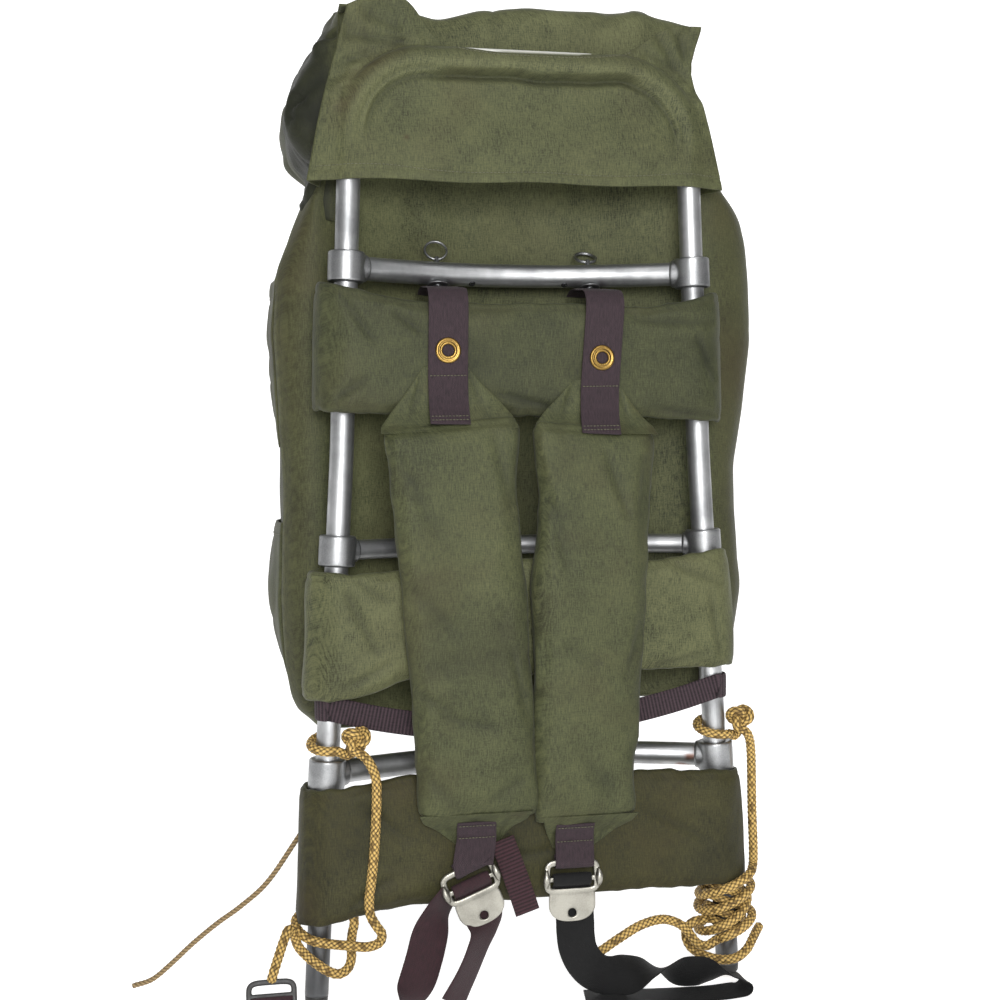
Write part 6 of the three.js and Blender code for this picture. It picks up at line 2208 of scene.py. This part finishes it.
    def lid(self) -> None:
        """The lid: a path from the sleeve's top edge over the load to the front, with hanging sides.

        Its first rows lead from the sleeve's edge over the tube. Near the sleeve its sides turn in behind it,
        along the top they hang down, and along the front flap they turn back to the bag.
        """
        path = np.array([
            [22.6, 177], [23.6, 196], [27, 209], [36, 219], [60, 226], [100, 229], [150, 225], [190, 213],
            [216, 194], [230, 168], [236, 128], [234, 84], [230, 58],
        ], dtype=float)
        line = smooth_path(np.hstack([np.zeros((len(path), 1)), path]), 2.6)[:, 1:]
        reach = reach_along(line)[:, None]
        crest_x = np.array([-150, -128, -100, -66, -30, 10, 84, 98, 108, 118, 142, 150])
        crest = np.array([-8, 4, 2, -11, 0, 5, 4, 6, 10, 3, -3, -5])
        turn = np.linspace(0, 0.5 * np.pi, 61)[1:]
        share = np.linspace(-1, 1, 150)
        inward = 1 - np.clip((line[:, :1] - 22.6) / 24, 0, 1)
        corner = np.sqrt(1 - inward**2)
        right_flat = np.minimum(158, 144 + 0.25 * line[:, :1])
        over = np.maximum(ease(line[:, 1:2], 140, 213), line[:, :1] < 150)
        left_x = -147 - 41 * (0.3 + 0.7 * over) * corner * np.sin(1.35 * turn[::-1]) ** 2.5
        flat_x = -147 + (right_flat + 147) * 0.5 * (share + 1)
        right_x = right_flat + 6 * corner * np.sin(turn)
        x = np.hstack([left_x, flat_x, right_x])
        reading = np.hstack([0 * left_x - 150, 150 * share + 0 * right_flat, 0 * right_x + 150])
        near = bell(reach, 11)
        level = line[:, 1:2] + soft_read(reading, crest_x, crest, 6)
        level = near * (self.ear_edge(reading) - 1) + (1 - near) * level
        low = np.minimum(np.where(x < 0, 40 + 0.35 * (line[:, :1] - 22.6), 104), level - 10)
        low = over * low + (1 - over) * (level - 1.5)
        drop = np.concatenate([np.cos(turn)[::-1], np.ones(150), np.cos(turn)])[None]
        z = low + (level - low) * drop
        table = self.rows()
        beside = np.minimum(-x, soft_read(z, table[:, 0], table[:, 1], 7) + 2.5)
        x = np.where(x < -147, -np.maximum(-x - 30 * ease(-z, -122, -45), beside), x)
        y = line[:, :1] - 22 * (1 - over) * (1 - drop)
        step = np.linspace(0, 1, 13)[:-1, None]
        flat = drop[0] == 1
        edge_x, *edges = self.sleeve_edge.T
        edge_y, edge_z = (np.interp(x[0], edge_x, edge) for edge in edges)
        start_y, start_z = np.where(flat, edge_y + 0.9, y[0] - 2), np.where(flat, edge_z - 0.6, z[0])
        join_y = start_y + (y[0] - start_y) * step
        join_z = start_z + (z[0] - start_z) * step
        tube = HOOP_TOP + np.sqrt(np.maximum(0, 11.2**2 - join_y**2))
        join_z = np.where(flat & (np.abs(x[0]) < 84), np.maximum(join_z, tube), join_z)
        joined = np.stack([np.broadcast_to(x[0], join_y.shape), join_y, join_z], -1)
        grid = np.concatenate([joined, np.stack([x, y, z], -1)])
        points = grid.reshape(-1, 3)
        surface = grid_surface(MM * grid)
        outward = unit(points - np.array([0, 120, 90]))
        slow = noise(points, 48, 91)
        fold = noise(points * (0.6, 1, 1.3), 21, 92)
        left = ease(-points[:, 0], 100, 160)
        lines = wrinkles(points, 32, 94)
        lift = 2.4 * slow + (1.4 + 1.8 * left) * fold - (1.7 + 0.9 * left) * lines
        folds = np.zeros(len(points))
        for start, end, width, deep in (
            ((-188, 40, 132), (-150, 26, 160), 4, -9), ((-188, 40, 124), (-154, 26, 129), 3.4, -7),
            ((-180, 30, 190), (-138, 24, 192), 3.6, -8), ((-180, 40, 181), (-142, 26, 184), 5, 5),
            ((-186, 60, 95), (-160, 30, 78), 4.5, -7), ((-186, 60, 150), (-170, 120, 110), 6, -7),
            ((-60, 60, 214), (-90, 25, 190), 6, -4), ((40, 210, 190), (60, 238, 110), 9, -5),
            ((-100, 210, 190), (-70, 238, 100), 9, -5), ((100, 30, 214), (128, 60, 222), 5, -4),
            ((20, 26, 200), (90, 40, 214), 5, -3),
        ):
            mark = crease(points, start, end, width)
            lift = lift + deep * mark
            folds = folds + mark * (deep < 0)
        points = points + outward * lift[:, None] * np.clip((points[:, 1:2] - 22) / 9, 0, 1)
        surface.points = MM * points
        shade = ease(noise(points, 50, 93), 0, 1)
        # Dirt in patches, and browner on the left as part of that side's painted shade.
        surface.values["soil"] = 0.1 * shade + 0.1 * left
        # Painted shade: the lid's left side, its creases and wrinkle lines are darkened.
        side = ease(-points[:, 0], 146, 160) * ease(-points[:, 1], -190, -100)
        surface.values["dark"] = np.clip(0.8 * side + 0.5 * folds + 0.16 * lines, 0, 0.92)
        oval = np.sqrt(np.maximum(0.01, 1 - ((points[:, 0] - 4) / 56) ** 4))
        bare = ease(-np.abs(points[:, 0] - 4), -56, -50) * (points[:, 1] < 3)
        surface.values["pale"] = 0.85 * bare * ease(points[:, 2] - 178.4 + 5 * oval, -0.4, 0.4)
        # The lid is paler except on its shaded left side, and the extra on raised fold crests is painted
        # highlight.
        surface.values["wear_and_highlight"] = (0.42 + 0.15 * np.clip(fold, 0, 1)) * (1 - left)
        piece = make_piece("slack_lid", surface, self.finishes.olive, "top_lid")
        wall(piece, self.thick)

    def build(self) -> None:
        """Builds the bag's pieces."""
        self.body()
        self.pocket("pocket_upper_left", Side.LEFT, 0, -145, 5.5)
        self.pocket("pocket_lower_left", Side.LEFT, -204, -335, 13)
        self.pocket("pocket_upper_right", Side.RIGHT, 50, -145, 9)
        self.pocket("pocket_lower_right", Side.RIGHT, -205, -325, 8)
        self.sleeve()
        self.lid()


def main() -> None:
    """Loads the frame and builds every sub-assembly in order."""
    logging.basicConfig(level=logging.INFO, format="%(message)s")
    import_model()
    studio = Studio()
    studio.camera()
    finishes = Finishes()
    RopeWork(finishes).build()
    TubeFrame(finishes).build()
    BackBands(finishes).build()
    ShoulderPads(finishes).build()
    Webbing(finishes).build()
    Hardware(finishes).build()
    PackBag(finishes).build()
    studio.build()


if __name__ == "__main__":
    main()
